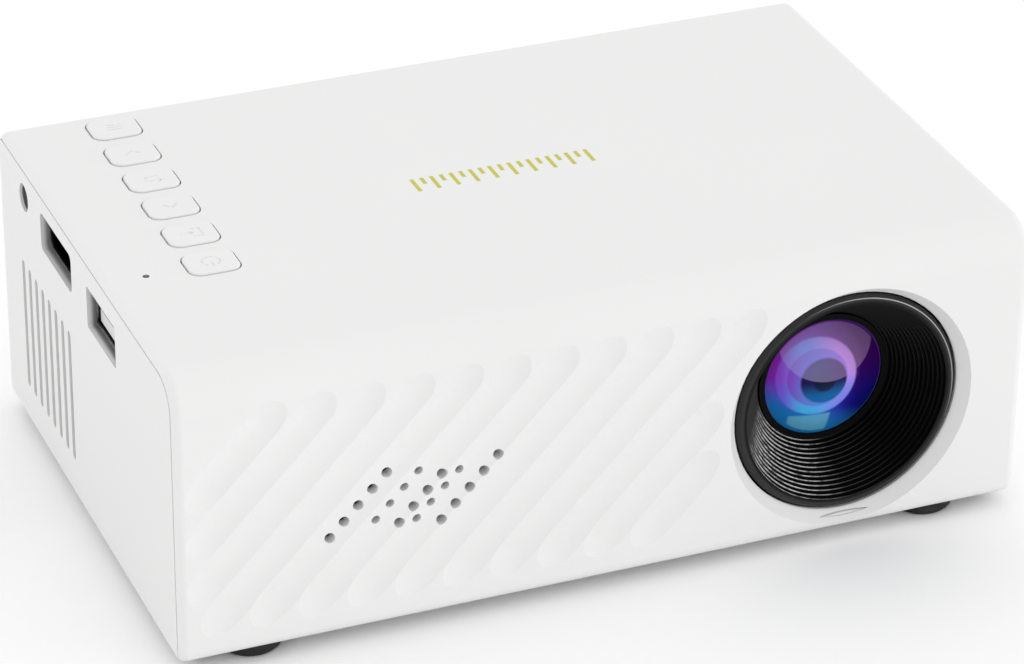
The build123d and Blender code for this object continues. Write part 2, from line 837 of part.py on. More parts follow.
def engine_body():
    """Optical engine's open tray, with slots for the plates and its two round ways for light."""
    high = engine_high - engine_low
    body = Pos(0, 0, engine_low) * extrude(engine_outline(0), high)
    body -= Pos(0, 0, engine_low + engine_wall) * extrude(engine_outline(engine_wall), high)
    wall_y = (engine_y - engine_half, engine_y + engine_half)
    for x, thick in optic_slots().values():
        for side in (-1, 1):
            near = x + side * (thick / 2 + plate_gap)
            rib_x = (min(near, near + side), max(near, near + side))
            body += block(rib_x, (wall_y[0] - 0.2, wall_y[0] + 1.6), (engine_low + 1, engine_high))
            body += block(rib_x, (wall_y[1] - 1.6, wall_y[1] + 0.2), (engine_low + 1, engine_high))
    body -= rod_x(led_dome + 1.2, (engine_rear - 1, engine_rear + engine_wall + 0.5), engine_y, lens_z)
    near = engine_y - engine_half - engine_wall
    body -= rod_y(barrel_radius, lens_x, (near - 1, near + engine_wall + 0.5), lens_z)
    for x, y in engine_posts():
        body -= rod_z(board_screw_radius + 0.1, x, y, (engine_low - 1, engine_low + engine_wall + 1))
    for side in (-1, 1):
        y = engine_y + side * heat_sink_screw
        spacer = rod_x(2.0, (engine_rear - led_board, engine_rear + 0.5), y, lens_z)
        body += spacer
        body -= rod_x(board_screw_radius + screw_gap, (engine_rear - 5, engine_rear + 5), y, lens_z)
    for x, z in mount_screw_places():
        body -= rod_y(board_screw_radius + screw_gap, x, (near - 1, near + engine_wall + 1), z)
    for x, y in lid_screw_places():
        body += rod_z(lid_boss_radius, x, y, (engine_low + engine_wall / 2, engine_high))
        body -= rod_z(board_screw_radius + screw_gap, x, y, (engine_high - 6, engine_high + 1))
    return body


def lid_screw_places():
    """Places of the screws that hold the engine's lid."""
    aside = engine_half - 1.5
    return [(x, engine_y + y) for x in (engine_rear + 3.2, 19.5) for y in (-aside, aside)]


def engine_lid():
    """Flat lid of the optical engine, with the slot for the panel's ribbon."""
    lid = Pos(0, 0, engine_high) * extrude(engine_outline(0), lid_thickness)
    for x, y in lid_screw_places():
        lid -= rod_z(board_screw_radius + 0.1, x, y, (engine_high - 1, engine_high + 3))
        lid -= rod_z(board_screw_head + 0.2, x, y, (engine_high + lid_seat, engine_high + 3))
    x = optic_slots()["panel"][0]
    half = ribbon_width / 2 + 0.5
    return lid - block((x - 1, x + 1), (engine_y - half, engine_y + half), (engine_high - 1, engine_high + 3))


def optic_plate(name):
    """Plate that stands in one pair of the engine's slots."""
    x, thick = optic_slots()[name]
    half = engine_half - plate_gap
    z = (engine_low + engine_wall, engine_high - 0.1)
    return block((x - thick / 2, x + thick / 2), (engine_y - half, engine_y + half), z)


def condenser_holder():
    """Plate with the round seat of the condenser lens."""
    x, thick = optic_slots()["holder"]
    return optic_plate("holder") - rod_x(condenser_radius + 0.1, (x - thick, x + thick), engine_y, lens_z)


def condenser_lens():
    """Flat-backed lens that gathers the light."""
    x, thick = optic_slots()["holder"]
    rear = x - thick / 2
    fore = x + thick / 2
    section = lens_section(condenser_radius, condenser_radius, rear, fore, 0, condenser_bulge)
    return Pos(0, engine_y, lens_z) * Rot(0, 0, -90) * revolve(section, Axis.Y)


def half_way_rise(clear, bulge):
    """Height of a round bulge half way from its edge to its middle."""
    sphere = (clear ** 2 + bulge ** 2) / (2 * bulge)
    return math.sqrt(sphere ** 2 - clear ** 2 / 4) - (sphere - bulge)


def lens_section(radius, clear, start, end, start_bulge, end_bulge):
    """Half section of a lens in (radius, y): flat rims, and bulges within the clear radius."""
    edges = []
    if start_bulge:
        middle = start - half_way_rise(clear, start_bulge)
        edges.append(ThreePointArc((0, start - start_bulge), (clear / 2, middle), (clear, start)))
    else:
        edges.append(Line((0, start), (clear, start)))
    if radius > clear:
        edges.append(Line((clear, start), (radius, start)))
    edges.append(Line((radius, start), (radius, end)))
    if radius > clear:
        edges.append(Line((radius, end), (clear, end)))
    if end_bulge:
        middle = end + half_way_rise(clear, end_bulge)
        edges.append(ThreePointArc((clear, end), (clear / 2, middle), (0, end + end_bulge)))
        edges.append(Line((0, end + end_bulge), (0, start - start_bulge)))
    else:
        edges.append(Line((clear, end), (0, end)))
        edges.append(Line((0, end), (0, start - start_bulge)))
    return make_face(edges)


def fold_mirror():
    """Flat mirror across the engine's slanted end."""
    tall = engine_high - engine_low - engine_wall - 0.3
    plate = Pos(0, mirror_thickness / 2, 0) * Box(mirror_length, mirror_thickness, tall)
    middle = engine_low + engine_wall + tall / 2
    return Pos(lens_x, engine_y, middle) * Rot(0, 0, -45) * plate


def panel_ribbon():
    """Flat ribbon from the panel, up through the lid and over to its socket on the main board."""
    x = optic_slots()["panel"][0]
    socket = board_top + ribbon_socket
    rise = socket + 2 * ribbon_bend
    path = FilletPolyline((x, engine_high), (x, rise), (ribbon_x, rise), (ribbon_x, socket), radius=ribbon_bend)
    strip = extrude(Plane.XZ * trace(path, ribbon_thickness), ribbon_width / 2, both=True)
    return Pos(0, engine_y, 0) * strip


def mount_screw_places():
    """Places of the screws that hold the lens mount."""
    aside = mount_screw_circle * math.sqrt(0.5)
    return [(lens_x + x, lens_z + z) for x in (-aside, aside) for z in (-aside, aside)]


def lens_mount():
    """Fixed guide tube of the projection lens, with its flange on the engine."""
    seat = engine_y - engine_half - engine_wall
    bore = barrel_radius + tube_fit
    outer = bore + tube_wall
    mouth = throat_end() + 0.3
    groove_far = hub_end() - hub_lip
    groove_near = groove_far - snap_lug_length - 2 * snap_gap
    outline = [(bore, mouth), (outer, mouth), (outer, groove_near), (outer - snap_groove_depth, groove_near)]
    outline += [(outer - snap_groove_depth, groove_far), (outer, groove_far)]
    outline += [(outer, seat - 2), (flange_radius, seat - 2), (flange_radius, seat), (bore, seat)]
    mount = turned_y(outline)
    for x, z in mount_screw_places():
        mount -= rod_y(board_screw_radius + 0.1, x, (seat - 3, seat + 1), z)
    return mount


def rim_plane():
    """Y of the hood's flat rim."""
    return front + hood_recess


def cone_end():
    """Y where the ribbed cone meets the throat."""
    return rim_plane() + cone_depth


def throat_end():
    """Y where the throat ends and the hub begins."""
    return cone_end() + throat_length


def hub_end():
    """Y of the hub's rear end."""
    return throat_end() + hub_length


def lens_hood():
    """Focus hood: rim, ribbed cone, throat with key ribs and hub with snap lugs."""
    rim = rim_plane()
    rim_inner = hood_radius - hood_chamfer - hood_rim
    throat = barrel_radius + barrel_gap
    hub_bore = barrel_radius + tube_fit + tube_wall + hub_fit
    hub = hub_bore + hub_wall
    step_r = (rim_inner - throat) / cone_ribs
    step_y = cone_depth / cone_ribs
    outline = [(hood_radius - hood_chamfer, rim)]
    for number in range(cone_ribs):
        radius = rim_inner - number * step_r
        outline += [(radius, rim + number * step_y), (radius, rim + (number + 1) * step_y)]
    outline += [(throat, cone_end()), (throat, throat_end()), (hub_bore, throat_end()), (hub_bore, hub_end())]
    slope = (rim_inner - throat) / cone_depth
    behind = rim + hood_rim_depth
    outer_inner = rim_inner - slope * hood_rim_depth + hood_wall
    join = behind + (outer_inner - hub) / slope
    outline += [(hub, hub_end()), (hub, join), (outer_inner, behind)]
    outline += [(hood_radius, behind), (hood_radius, rim + hood_chamfer)]
    hood = turned_y(outline)
    lug_far = hub_end() - hub_lip - snap_gap
    lug_y = (lug_far - snap_lug_length, lug_far)
    lug_inner = hub_bore - hub_fit - snap_groove_depth + snap_gap
    rib_y = key_rib_ends()
    for number in range(key_rib_count):
        turn = Pos(lens_x, 0, lens_z) * Rot(0, 360 / key_rib_count * number, 0)
        lug = rod_y(hub_bore + 0.3, 0, lug_y, 0) - rod_y(lug_inner, 0, (lug_y[0] - 1, lug_y[1] + 1), 0)
        hood += turn * (lug & block((-3, 3), (lug_y[0], lug_y[1]), (0, hub_bore + 1)))
        half = key_rib_width / 2
        hood += turn * block((-half, half), rib_y, (throat - key_rib_height, throat + 0.3))
    return hood


def key_rib_ends():
    """Ends of the key ribs along Y, inside the throat."""
    far = throat_end() - key_rib_inset
    return far - key_rib_length, far


def barrel_front():
    """Y of the barrel's front end at rest."""
    return cone_end() - barrel_setback


def glass_seat():
    """Y of the shoulder behind the front lens."""
    return barrel_front() + glass_edge + 0.65


def lens_barrel():
    """Sliding barrel that holds the glass, keyed to the hood by three grooves."""
    near = barrel_front()
    far = near + barrel_length
    seat = glass_seat()
    outline = [(glass_radius + 0.05, near), (barrel_radius, near), (barrel_radius, far), (barrel_bore, far)]
    outline += [(barrel_bore, seat + 2.4), (stop_radius, seat + 2.4), (stop_radius, seat + 1.2)]
    outline += [(barrel_bore, seat), (glass_radius + 0.05, seat)]
    barrel = turned_y(outline)
    half = key_rib_width / 2 + barrel_gap
    groove_y = (key_rib_ends()[0] - 0.4, far + 1)
    depth_z = (barrel_radius - key_rib_height - barrel_gap, barrel_radius + 1)
    for number in range(key_rib_count):
        turn = Pos(lens_x, 0, lens_z) * Rot(0, 360 / key_rib_count * number, 0)
        barrel -= turn * block((-half, half), groove_y, depth_z)
    return barrel


def front_lens():
    """Domed front element."""
    seat = glass_seat()
    section = lens_section(glass_radius, glass_radius, seat - glass_edge, seat, glass_sagitta, 0)
    return Pos(lens_x, 0, lens_z) * revolve(section, Axis.Y)


def lens_retaining_ring():
    """Thin ring that holds the front element in the barrel."""
    near = barrel_front()
    inner = glass_radius - 0.3
    outline = [(inner, near), (glass_radius + 0.03, near), (glass_radius + 0.03, near + 0.4), (inner, near + 0.4)]
    return turned_y(outline)


def inner_lens_start():
    """Y where the middle element rests on the stop."""
    return glass_seat() + 2.4


def inner_lens(start):
    """Small element inside the barrel, which starts at this Y."""
    section = lens_section(barrel_bore - 0.05, stop_radius - 0.2, start, start + inner_edge, inner_bulge, inner_bulge)
    return Pos(lens_x, 0, lens_z) * revolve(section, Axis.Y)


def inner_ring(start, length):
    """Spacer or retaining ring inside the barrel."""
    outer = barrel_bore - 0.05
    outline = [(stop_radius, start), (outer, start), (outer, start + length), (stop_radius, start + length)]
    return turned_y(outline)


def rubber_feet():
    """Four feet, each with a stud and a head pushed through the floor."""
    seat = base + foot_recess
    outline = [(0, 0), (foot_radius - 0.5, 0), (foot_radius, 0.5), (foot_radius, seat), (foot_stud_radius, seat)]
    outline += [(foot_stud_radius, floor), (foot_head_radius, floor), (foot_stud_radius - 0.4, floor + foot_head_height)]
    outline += [(0, floor + foot_head_height)]
    return Compound(children=[turned_z(outline, x, y) for x, y in corner_places(foot_x, foot_y)])


def screw(shank, head, length, rise):
    """Screw that points up, its head's seat at the origin."""
    outline = [(0, -rise), (head, -rise), (head, 0), (shank, 0), (shank, length - shank), (0, length)]
    return turned_z(outline, 0, 0)


def case_screws():
    """Four screws that hold the shells together from below."""
    fastener = screw(case_screw_radius, case_screw_head, case_screw_length, 1.3)
    places = corner_places(post_x, post_y)
    return Compound(children=[Pos(x, y, base + pad_height) * fastener for x, y in places])


def board_screws():
    """Screws that hang the two boards from the upper shell."""
    fastener = screw(board_screw_radius, board_screw_head, board_screw_length, 0.9)
    solids = [Pos(x, y, board_top - board_thickness) * fastener for x, y in board_bosses]
    short = screw(board_screw_radius, board_screw_head, 3.4, 0.9)
    solids += [Pos(x, y, key_board_top - board_thickness) * short for x, y in key_board_bosses]
    return Compound(children=solids)


def engine_screws():
    """Screws of the engine, the power board, the heat sink and the lens mount."""
    fastener = Rot(180, 0, 0) * screw(board_screw_radius, board_screw_head, board_screw_length, 0.9)
    solids = [Pos(x, y, engine_low + engine_wall) * fastener for x, y in engine_posts()]
    short = Rot(180, 0, 0) * screw(board_screw_radius, board_screw_head, 3.8, 0.9)
    solids += [Pos(x, y, power_board_z + board_thickness) * short for x, y in power_board_posts]
    sideways = Rot(0, 90, 0) * screw(board_screw_radius, board_screw_head, 5.6, 0.9)
    x = engine_rear - led_board - heat_sink_base
    for side in (-1, 1):
        solids.append(Pos(x, engine_y + side * heat_sink_screw, lens_z) * sideways)
    backwards = Rot(-90, 0, 0) * screw(board_screw_radius, board_screw_head, 3.3, 0.9)
    seat = engine_y - engine_half - engine_wall - 2
    solids += [Pos(x, seat, z) * backwards for x, z in mount_screw_places()]
    solids += [Pos(x, y, engine_high + lid_seat) * fastener for x, y in lid_screw_places()]
    return Compound(children=solids)


def tripod_insert():
    """Brass insert with the tripod thread, flush with the underside."""
    high = base + tripod_length
    ring = rod_z(tripod_insert_radius, tripod_x, tripod_y, (base, high))
    return ring - rod_z(tripod_radius, tripod_x, tripod_y, (base - 1, high + 1))


def save(shape, name):
    """Write one piece to its own file."""
    export_step(shape, f"parts/{name}.step")


key_names = ("power", "source", "up", "return", "down", "menu")

save(upper_shell(), "upper_shell")
save(lower_shell(), "lower_shell")
for name, y in zip(key_names, key_places()):
    save(key(y), f"{name}_key")
    save(switch_stem(y), f"{name}_switch_stem")
save(switch_bodies(), "switch_bodies")
save(key_board(), "key_board")
save(main_board(), "main_board")
save(board_chips(), "board_chips")
save(light_guide(), "light_guide")
save(socket_tube(hdmi_y, hdmi_z, *hdmi_shell_size(), True), "hdmi_socket")
save(hdmi_insert(), "hdmi_insert")
save(socket_tube(usb_y, usb_z, *usb_shell_size(), False), "usb_socket")
save(usb_insert(), "usb_insert")
save(av_jack(), "av_jack")
save(power_board(), "power_board")
save(power_inlet(), "power_inlet")
save(inlet_contact(), "inlet_contact")
save(speaker_gasket(), "speaker_gasket")
save(speaker_basket(), "speaker_basket")
save(speaker_cone(), "speaker_cone")
save(speaker_magnet(), "speaker_magnet")
save(fan_frame(), "fan_frame")
save(fan_rotor(), "fan_rotor")
save(heat_sink(), "heat_sink")
save(led_module(), "led_module")
save(engine_body(), "engine_body")
save(engine_lid(), "engine_lid")
save(condenser_holder(), "condenser_holder")
save(condenser_lens(), "condenser_lens")
save(optic_plate("rear"), "rear_fresnel_lens")
save(optic_plate("panel"), "lcd_panel")
save(optic_plate("fore"), "front_fresnel_lens")
save(fold_mirror(), "fold_mirror")
save(panel_ribbon(), "panel_ribbon")
save(lens_mount(), "lens_mount")
save(lens_hood(), "lens_hood")
save(lens_barrel(), "lens_barrel")
save(front_lens(), "front_lens")
save(lens_retaining_ring(), "lens_retaining_ring")
middle_start = inner_lens_start()
spacer_start = middle_start + inner_edge
rear_start = spacer_start + spacer_length
save(inner_lens(middle_start), "middle_lens")
save(inner_ring(spacer_start, spacer_length), "lens_spacer")
save(inner_lens(rear_start), "rear_lens")
save(inner_ring(rear_start + inner_edge, 1.5), "rear_retaining_ring")
save(rubber_feet(), "rubber_feet")
save(case_screws(), "case_screws")
save(board_screws(), "board_screws")
save(engine_screws(), "engine_screws")
save(tripod_insert(), "tripod_insert")
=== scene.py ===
"""Mini projector: finishes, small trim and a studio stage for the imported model."""
import itertools
import math

import bmesh
import bpy
from mathutils import Matrix, Vector


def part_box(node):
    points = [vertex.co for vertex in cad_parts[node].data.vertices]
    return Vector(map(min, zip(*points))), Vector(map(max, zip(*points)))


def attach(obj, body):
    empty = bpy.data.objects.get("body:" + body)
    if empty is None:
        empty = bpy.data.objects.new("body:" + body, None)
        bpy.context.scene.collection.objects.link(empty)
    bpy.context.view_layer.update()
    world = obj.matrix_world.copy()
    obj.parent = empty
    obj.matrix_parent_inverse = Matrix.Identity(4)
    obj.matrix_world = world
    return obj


bl_info = {
    "name": "Mini Projector",
    "version": (1, 0, 0),
    "blender": (4, 5, 0),
    "location": "3D View > Sidebar > Projector",
    "description": "Dresses the packed mini projector and lights it on a plain studio floor",
    "category": "Object",
}

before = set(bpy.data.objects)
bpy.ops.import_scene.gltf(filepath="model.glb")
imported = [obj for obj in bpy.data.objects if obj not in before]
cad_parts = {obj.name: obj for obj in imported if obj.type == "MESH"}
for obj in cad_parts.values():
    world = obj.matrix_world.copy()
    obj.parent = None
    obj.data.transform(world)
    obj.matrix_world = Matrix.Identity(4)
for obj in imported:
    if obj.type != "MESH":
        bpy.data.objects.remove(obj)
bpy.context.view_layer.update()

MM = 0.001
KEYS = ("power", "source", "up", "return", "down", "menu")
HOOD_LOW, HOOD_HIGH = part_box("lens_hood")
GLASS_LOW, GLASS_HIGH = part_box("front_lens")
SHELL_LOW, SHELL_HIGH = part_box("upper_shell")
LENS_X = (HOOD_LOW[0] + HOOD_HIGH[0]) / 2
LENS_Z = (HOOD_LOW[2] + HOOD_HIGH[2]) / 2
GLASS_RADIUS = (GLASS_HIGH[0] - GLASS_LOW[0]) / 2
HOOD_RADIUS = (HOOD_HIGH[0] - HOOD_LOW[0]) / 2
# A Mix node has sockets for each kind of value, and these are the ones for colours.
MIX_FACTOR = 0
MIX_FIRST = 6
MIX_SECOND = 7
MIX_RESULT = 2
# Least cosine of half a bend at which a printed line's corner still gets wider.
SHARPEST_MITRE = 0.4


class Number:
    """A shader socket on which Python's own operators add Math nodes."""

    def __init__(self, finish, socket):
        self.finish = finish
        self.socket = socket

    def math(self, operation, *others):
        """Result of one Math node on this number and the others."""
        return self.finish.math(operation, self, *others)

    def __add__(self, other):
        return self.math("ADD", other)

    def __radd__(self, other):
        return self.math("ADD", other)

    def __sub__(self, other):
        return self.math("SUBTRACT", other)

    def __rsub__(self, other):
        return self.finish.math("SUBTRACT", other, self)

    def __mul__(self, other):
        return self.math("MULTIPLY", other)

    def __rmul__(self, other):
        return self.math("MULTIPLY", other)

    def __truediv__(self, other):
        return self.math("DIVIDE", other)


def opaque(color):
    """A plain colour with its alpha, or a linked colour as it is."""
    return color if isinstance(color, Number) else (*color[:3], 1.0)


class Finish:
    """One material on a Principled shader, and the one method that adds any other node."""

    def __init__(self, name, color, **constants):
        self.material = bpy.data.materials.new(name)
        self.material.use_nodes = True
        self.tree = self.material.node_tree
        self.shader = self.tree.nodes["Principled BSDF"]
        self.shader.inputs["Base Color"].default_value = opaque(color)
        for label, value in constants.items():
            socket = label.replace("_", " ").title().replace("Ior", "IOR")
            self.shader.inputs[socket].default_value = value

    def node(self, kind, settings=None, inputs=None, output=0):
        """Adds a node, sets it up, fills or links its sockets and gives one of its outputs."""
        node = self.tree.nodes.new(kind)
        for label, value in (settings or {}).items():
            setattr(node, label, value)
        for socket, value in (inputs or {}).items():
            self.feed(node.inputs[socket], value)
        return Number(self, node.outputs[output])

    def feed(self, socket, value):
        """Links a number or sets a plain value on a socket."""
        if isinstance(value, Number):
            self.tree.links.new(value.socket, socket)
        else:
            socket.default_value = value

    def math(self, operation, *values):
        """Result of one Math node."""
        return self.node("ShaderNodeMath", {"operation": operation}, dict(enumerate(values)))

    def coordinate(self, kind="Object"):
        """Place on the piece, in the model's frame at rest, or its normal."""
        return self.node("ShaderNodeTexCoord", output=kind)

    def split(self, vector):
        """X, Y and Z of a vector."""
        separate = self.node("ShaderNodeSeparateXYZ", None, {0: vector})
        return [Number(self, socket) for socket in separate.socket.node.outputs]

    def noise(self, waves, detail=2.0, stretch=(1, 1, 1)):
        """Smooth noise of 0 to 1, with this many waves to the metre."""
        places = {0: self.coordinate(), 1: stretch}
        spot = self.node("ShaderNodeVectorMath", {"operation": "MULTIPLY"}, places)
        return self.node("ShaderNodeTexNoise", None, {"Vector": spot, "Scale": waves, "Detail": detail})

    def cells(self, waves):
        """Distance to the nearest of many scattered points, for tracks and pores."""
        return self.node("ShaderNodeTexVoronoi", None, {"Vector": self.coordinate(), "Scale": waves})

    def rise(self, value, edge, soft):
        """Mask that rises from 0 to 1 over an edge."""
        limits = {"Value": value, "From Min": edge - soft, "From Max": edge + soft}
        return self.node("ShaderNodeMapRange", {"interpolation_type": "SMOOTHSTEP"}, limits)

    def fall(self, value, edge, soft):
        """Mask that falls from 1 to 0 over an edge."""
        return 1.0 - self.rise(value, edge, soft)

    def mix(self, first, second, factor):
        """Blend of two colours by a factor."""
        inputs = {MIX_FACTOR: factor, MIX_FIRST: opaque(first), MIX_SECOND: opaque(second)}
        return self.node("ShaderNodeMix", {"data_type": "RGBA"}, inputs, MIX_RESULT)

    def blend(self, first, second, value, edge, soft):
        """First colour where a value lies below an edge, second colour where it lies above."""
        return self.mix(first, second, self.rise(value, edge, soft))

    def color(self, value):
        """Feeds the base colour."""
        self.feed(self.shader.inputs["Base Color"], value)

    def roughness(self, value):
        """Feeds the roughness."""
        self.feed(self.shader.inputs["Roughness"], value)

    def bump(self, height, depth):
        """Feeds the normal from a height of 0 to 1; depth is in metres."""
        self.feed(self.shader.inputs["Normal"],
                  self.node("ShaderNodeBump", None, {"Height": height, "Distance": depth}))


def dress(finish, *nodes):
    """Gives carried-over nodes their finish."""
    for node in nodes:
        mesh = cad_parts[node].data
        mesh.materials.clear()
        mesh.materials.append(finish.material)


def add_object(name, data):
    """Adds an object to the scene."""
    holder = bpy.data.objects.new(name, data)
    bpy.context.scene.collection.objects.link(holder)
    return holder


def add_mesh(name, shape, finish):
    """Adds a finished shape to the scene, with one material."""
    mesh = bpy.data.meshes.new(name)
    shape.to_mesh(mesh)
    shape.free()
    mesh.materials.append(finish.material)
    return add_object(name, mesh)


def add_piece(name, mesh_maker, finish, body):
    """Turns a mesh maker's result into a piece that rides on a body."""
    shape = bmesh.new()
    mesh_maker(shape)
    bmesh.ops.recalc_face_normals(shape, faces=shape.faces)
    piece = add_mesh(name, shape, finish)
    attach(piece, body)


def add_bar(shape, low, high):
    """Adds a closed box between two corners."""
    points = [shape.verts.new(corner) for corner in itertools.product(*zip(low, high))]
    for face in ((0, 1, 3, 2), (4, 6, 7, 5), (0, 4, 5, 1), (2, 3, 7, 6), (0, 2, 6, 4), (1, 5, 7, 3)):
        shape.faces.new([points[index] for index in face])


def join_rings(shape, rings, looped=False):
    """Adds the faces between rings that follow each other, and two end faces if they make no loop."""
    following = rings[1:] + rings[:1] if looped else rings[1:]
    for first, second in zip(rings, following):
        for side in range(len(first)):
            beyond = (side + 1) % len(first)
            shape.faces.new((first[side], first[beyond], second[beyond], second[side]))
    if not looped:
        shape.faces.new(rings[0])
        shape.faces.new(rings[-1])


def add_stroke(shape, points, width, low, high):
    """Adds a printed line of even width along (x, y) points, between two heights."""
    path = [Vector(point) for point in points]
    runs = [(end - start).normalized() for start, end in zip(path, path[1:])]
    rings = []
    for point, behind, ahead in zip(path, runs[:1] + runs, runs + runs[-1:]):
        along = (ahead + behind).normalized()
        aside = Vector((-along.y, along.x)) * (width / 2 / max(along.dot(ahead), SHARPEST_MITRE))
        left = point + aside
        right = point - aside
        corners = ((left, low), (left, high), (right, high), (right, low))
        rings.append([shape.verts.new((spot.x, spot.y, z)) for spot, z in corners])
    join_rings(shape, rings)


def arc(radius, start, end, steps, centre=(0.0, 0.0)):
    """Points along an arc, with angles in degrees."""
    points = []
    for number in range(steps + 1):
        angle = math.radians(start + (end - start) * number / steps)
        points.append((centre[0] + radius * math.cos(angle), centre[1] + radius * math.sin(angle)))
    return points


class ShellLook(bpy.types.PropertyGroup):
    """Finish of the white mouldings."""

    color: bpy.props.FloatVectorProperty(
        name="Plastic", description="Colour of the white mouldings", subtype="COLOR", size=3,
        min=0.0, max=1.0, default=(0.825, 0.825, 0.822))
    roughness: bpy.props.FloatProperty(
        name="Roughness", description="How matte the mouldings are", subtype="FACTOR",
        min=0.0, max=1.0, default=0.46)
    grain: bpy.props.FloatProperty(
        name="Grain depth", description="Depth of the mould's fine grain", unit="LENGTH",
        min=0.0, max=0.0001, default=0.000004, precision=6)
    symbol_color: bpy.props.FloatVectorProperty(
        name="Key symbols", description="Colour of the faint symbols on the keys", subtype="COLOR", size=3,
        min=0.0, max=1.0, default=(0.66, 0.66, 0.66))


class HoodLook(bpy.types.PropertyGroup):
    """Finish of the ribbed lens hood."""

    color: bpy.props.FloatVectorProperty(
        name="Hood", description="Colour inside the hood", subtype="COLOR", size=3,
        min=0.0, max=1.0, default=(0.003, 0.003, 0.0031))
    rim_color: bpy.props.FloatVectorProperty(
        name="Rim", description="Colour of the hood's flat rim", subtype="COLOR", size=3,
        min=0.0, max=1.0, default=(0.036, 0.036, 0.037))
    roughness: bpy.props.FloatProperty(
        name="Roughness", description="How matte the hood is", subtype="FACTOR",
        min=0.0, max=1.0, default=0.34)


class PrintLook(bpy.types.PropertyGroup):
    """The plain printed scale on top."""

    color: bpy.props.FloatVectorProperty(
        name="Print", description="Colour of the printed scale", subtype="COLOR", size=3,
        min=0.0, max=1.0, default=(0.53, 0.5, 0.05))
    length: bpy.props.FloatProperty(
        name="Scale length", description="Length of the scale along X", unit="LENGTH",
        min=0.005, max=0.06, default=0.0265)
    height: bpy.props.FloatProperty(
        name="Stroke height", description="Length of the long strokes", unit="LENGTH",
        min=0.001, max=0.01, default=0.0038)
    stroke: bpy.props.FloatProperty(
        name="Stroke width", description="Width of each stroke", unit="LENGTH",
        min=0.0001, max=0.001, default=0.0006)


class StageLook(bpy.types.PropertyGroup):
    """Floor, light and camera."""

    floor_size: bpy.props.FloatProperty(
        name="Floor", description="Side of the square floor", unit="LENGTH", min=1.0, max=50.0, default=14.0)
    sky: bpy.props.FloatProperty(
        name="Sky", description="Level of the even light from all round", min=0.0, max=2.0, default=0.985)
    side_light: bpy.props.FloatProperty(
        name="Side light", description="Low sun from the right", min=0.0, max=5.0, default=0.68)
    top_light: bpy.props.FloatProperty(
        name="Top light", description="Sun from above and behind", min=0.0, max=5.0, default=0.12)
    focal_length: bpy.props.FloatProperty(
        name="Lens", description="Camera's focal length", unit="CAMERA", min=10.0, max=400.0, default=153.8)


def distance(first, second):
    """Length of the line whose two sides are these numbers."""
    return (first * first + second * second).math("SQRT")


def scaled(color, factor):
    """A colour made darker or brighter."""
    return tuple(min(1.0, value * factor) for value in color)


def inside_box(finish, low, high, soft):
    """Mask that is 1 between two corners."""
    mask = 1.0
    for place, start, end in zip(finish.split(finish.coordinate()), low, high):
        mask = finish.rise(place, start, soft) * finish.fall(place, end, soft) * mask
    return mask


# Painted shade: the housing is darker this far round a socket, from behind its outer lip inwards.
RECESS_MARGIN = 1.6 * MM
RECESS_LIP = 0.55 * MM
RECESS_DEPTH = 8.0 * MM
RECESS_SOFT = 0.4 * MM
RECESS_PAINTED_SHADE = 0.3


def recess_shade_mask(finish, socket):
    """Mask of the painted shade in the housing's recess round a socket."""
    low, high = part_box(socket)
    start = (SHELL_LOW[0] + RECESS_LIP, low[1] - RECESS_MARGIN, low[2] - RECESS_MARGIN)
    end = (SHELL_LOW[0] + RECESS_DEPTH, high[1] + RECESS_MARGIN, high[2] + RECESS_MARGIN)
    return inside_box(finish, start, end, RECESS_SOFT)


def white_plastic(name, look, roughness, sockets=()):
    """Fine-grained white moulding, a little uneven in tone, with painted shade in the recesses round the
    sockets that are named.
    """
    finish = Finish(name, look.color, specular_ior_level=0.42)
    tone = finish.noise(waves=22.0, detail=3.0)
    color = finish.blend(scaled(look.color, 0.985), look.color, tone, 0.5, 0.3)
    # Painted shade in the recess round each socket that is named
    for socket in sockets:
        color = finish.mix(color, scaled(look.color, RECESS_PAINTED_SHADE), recess_shade_mask(finish, socket))
    finish.color(color)
    grain = finish.noise(waves=5200.0)
    finish.roughness(roughness + 0.05 * (grain - 0.5))
    finish.bump(grain, look.grain)
    return finish


GRAIN_WAVES = 4200.0


def grained_plastic(name, color, roughness, waves=GRAIN_WAVES, specular=0.4):
    """Dark moulding or ink with a fine grain."""
    finish = Finish(name, color, specular_ior_level=specular)
    grain = finish.noise(waves)
    finish.color(finish.blend(color, scaled(color, 1.5), grain, 0.6, 0.15))
    finish.roughness(roughness + 0.1 * (grain - 0.5))
    finish.bump(grain, 0.004 * MM)
    return finish


def brush(finish, roughness, stretch):
    """Drawn or brushed marks along one direction, in the roughness and the height."""
    marks = finish.noise(waves=900.0, detail=3.0, stretch=stretch)
    finish.roughness(roughness + 0.18 * (marks - 0.5))
    finish.bump(marks, 0.003 * MM)
    return marks


def metal(name, color, roughness, stretch):
    """Metal with fine drawn or brushed marks along one direction."""
    finish = Finish(name, color, metallic=1.0)
    marks = brush(finish, roughness, stretch)
    finish.color(finish.blend(scaled(color, 0.78), color, marks, 0.45, 0.25))
    return finish


def smooth_finish(name, color, roughness, spread, waves, **constants):
    """Even colour whose roughness goes up by a spread in places."""
    finish = Finish(name, color, **constants)
    finish.roughness(roughness + spread * finish.noise(waves))
    return finish


def clear_plastic(name, color, roughness):
    """Clear plastic or glass, with faint haze."""
    return smooth_finish(name, color, roughness, 0.04, 120.0, transmission_weight=0.9, ior=1.5)


class PROJECTOR_OT_finish_shells(bpy.types.Operator):
    """Gives the two halves of the housing their fine-grained white finish"""

    bl_idname = "projector.finish_shells"
    bl_label = "Finish Shells"

    def execute(self, context):
        look = context.scene.projector_shell
        finish = white_plastic("white_shell", look, look.roughness, ("hdmi_socket", "usb_socket"))
        dress(finish, "upper_shell", "lower_shell")
        return {"FINISHED"}


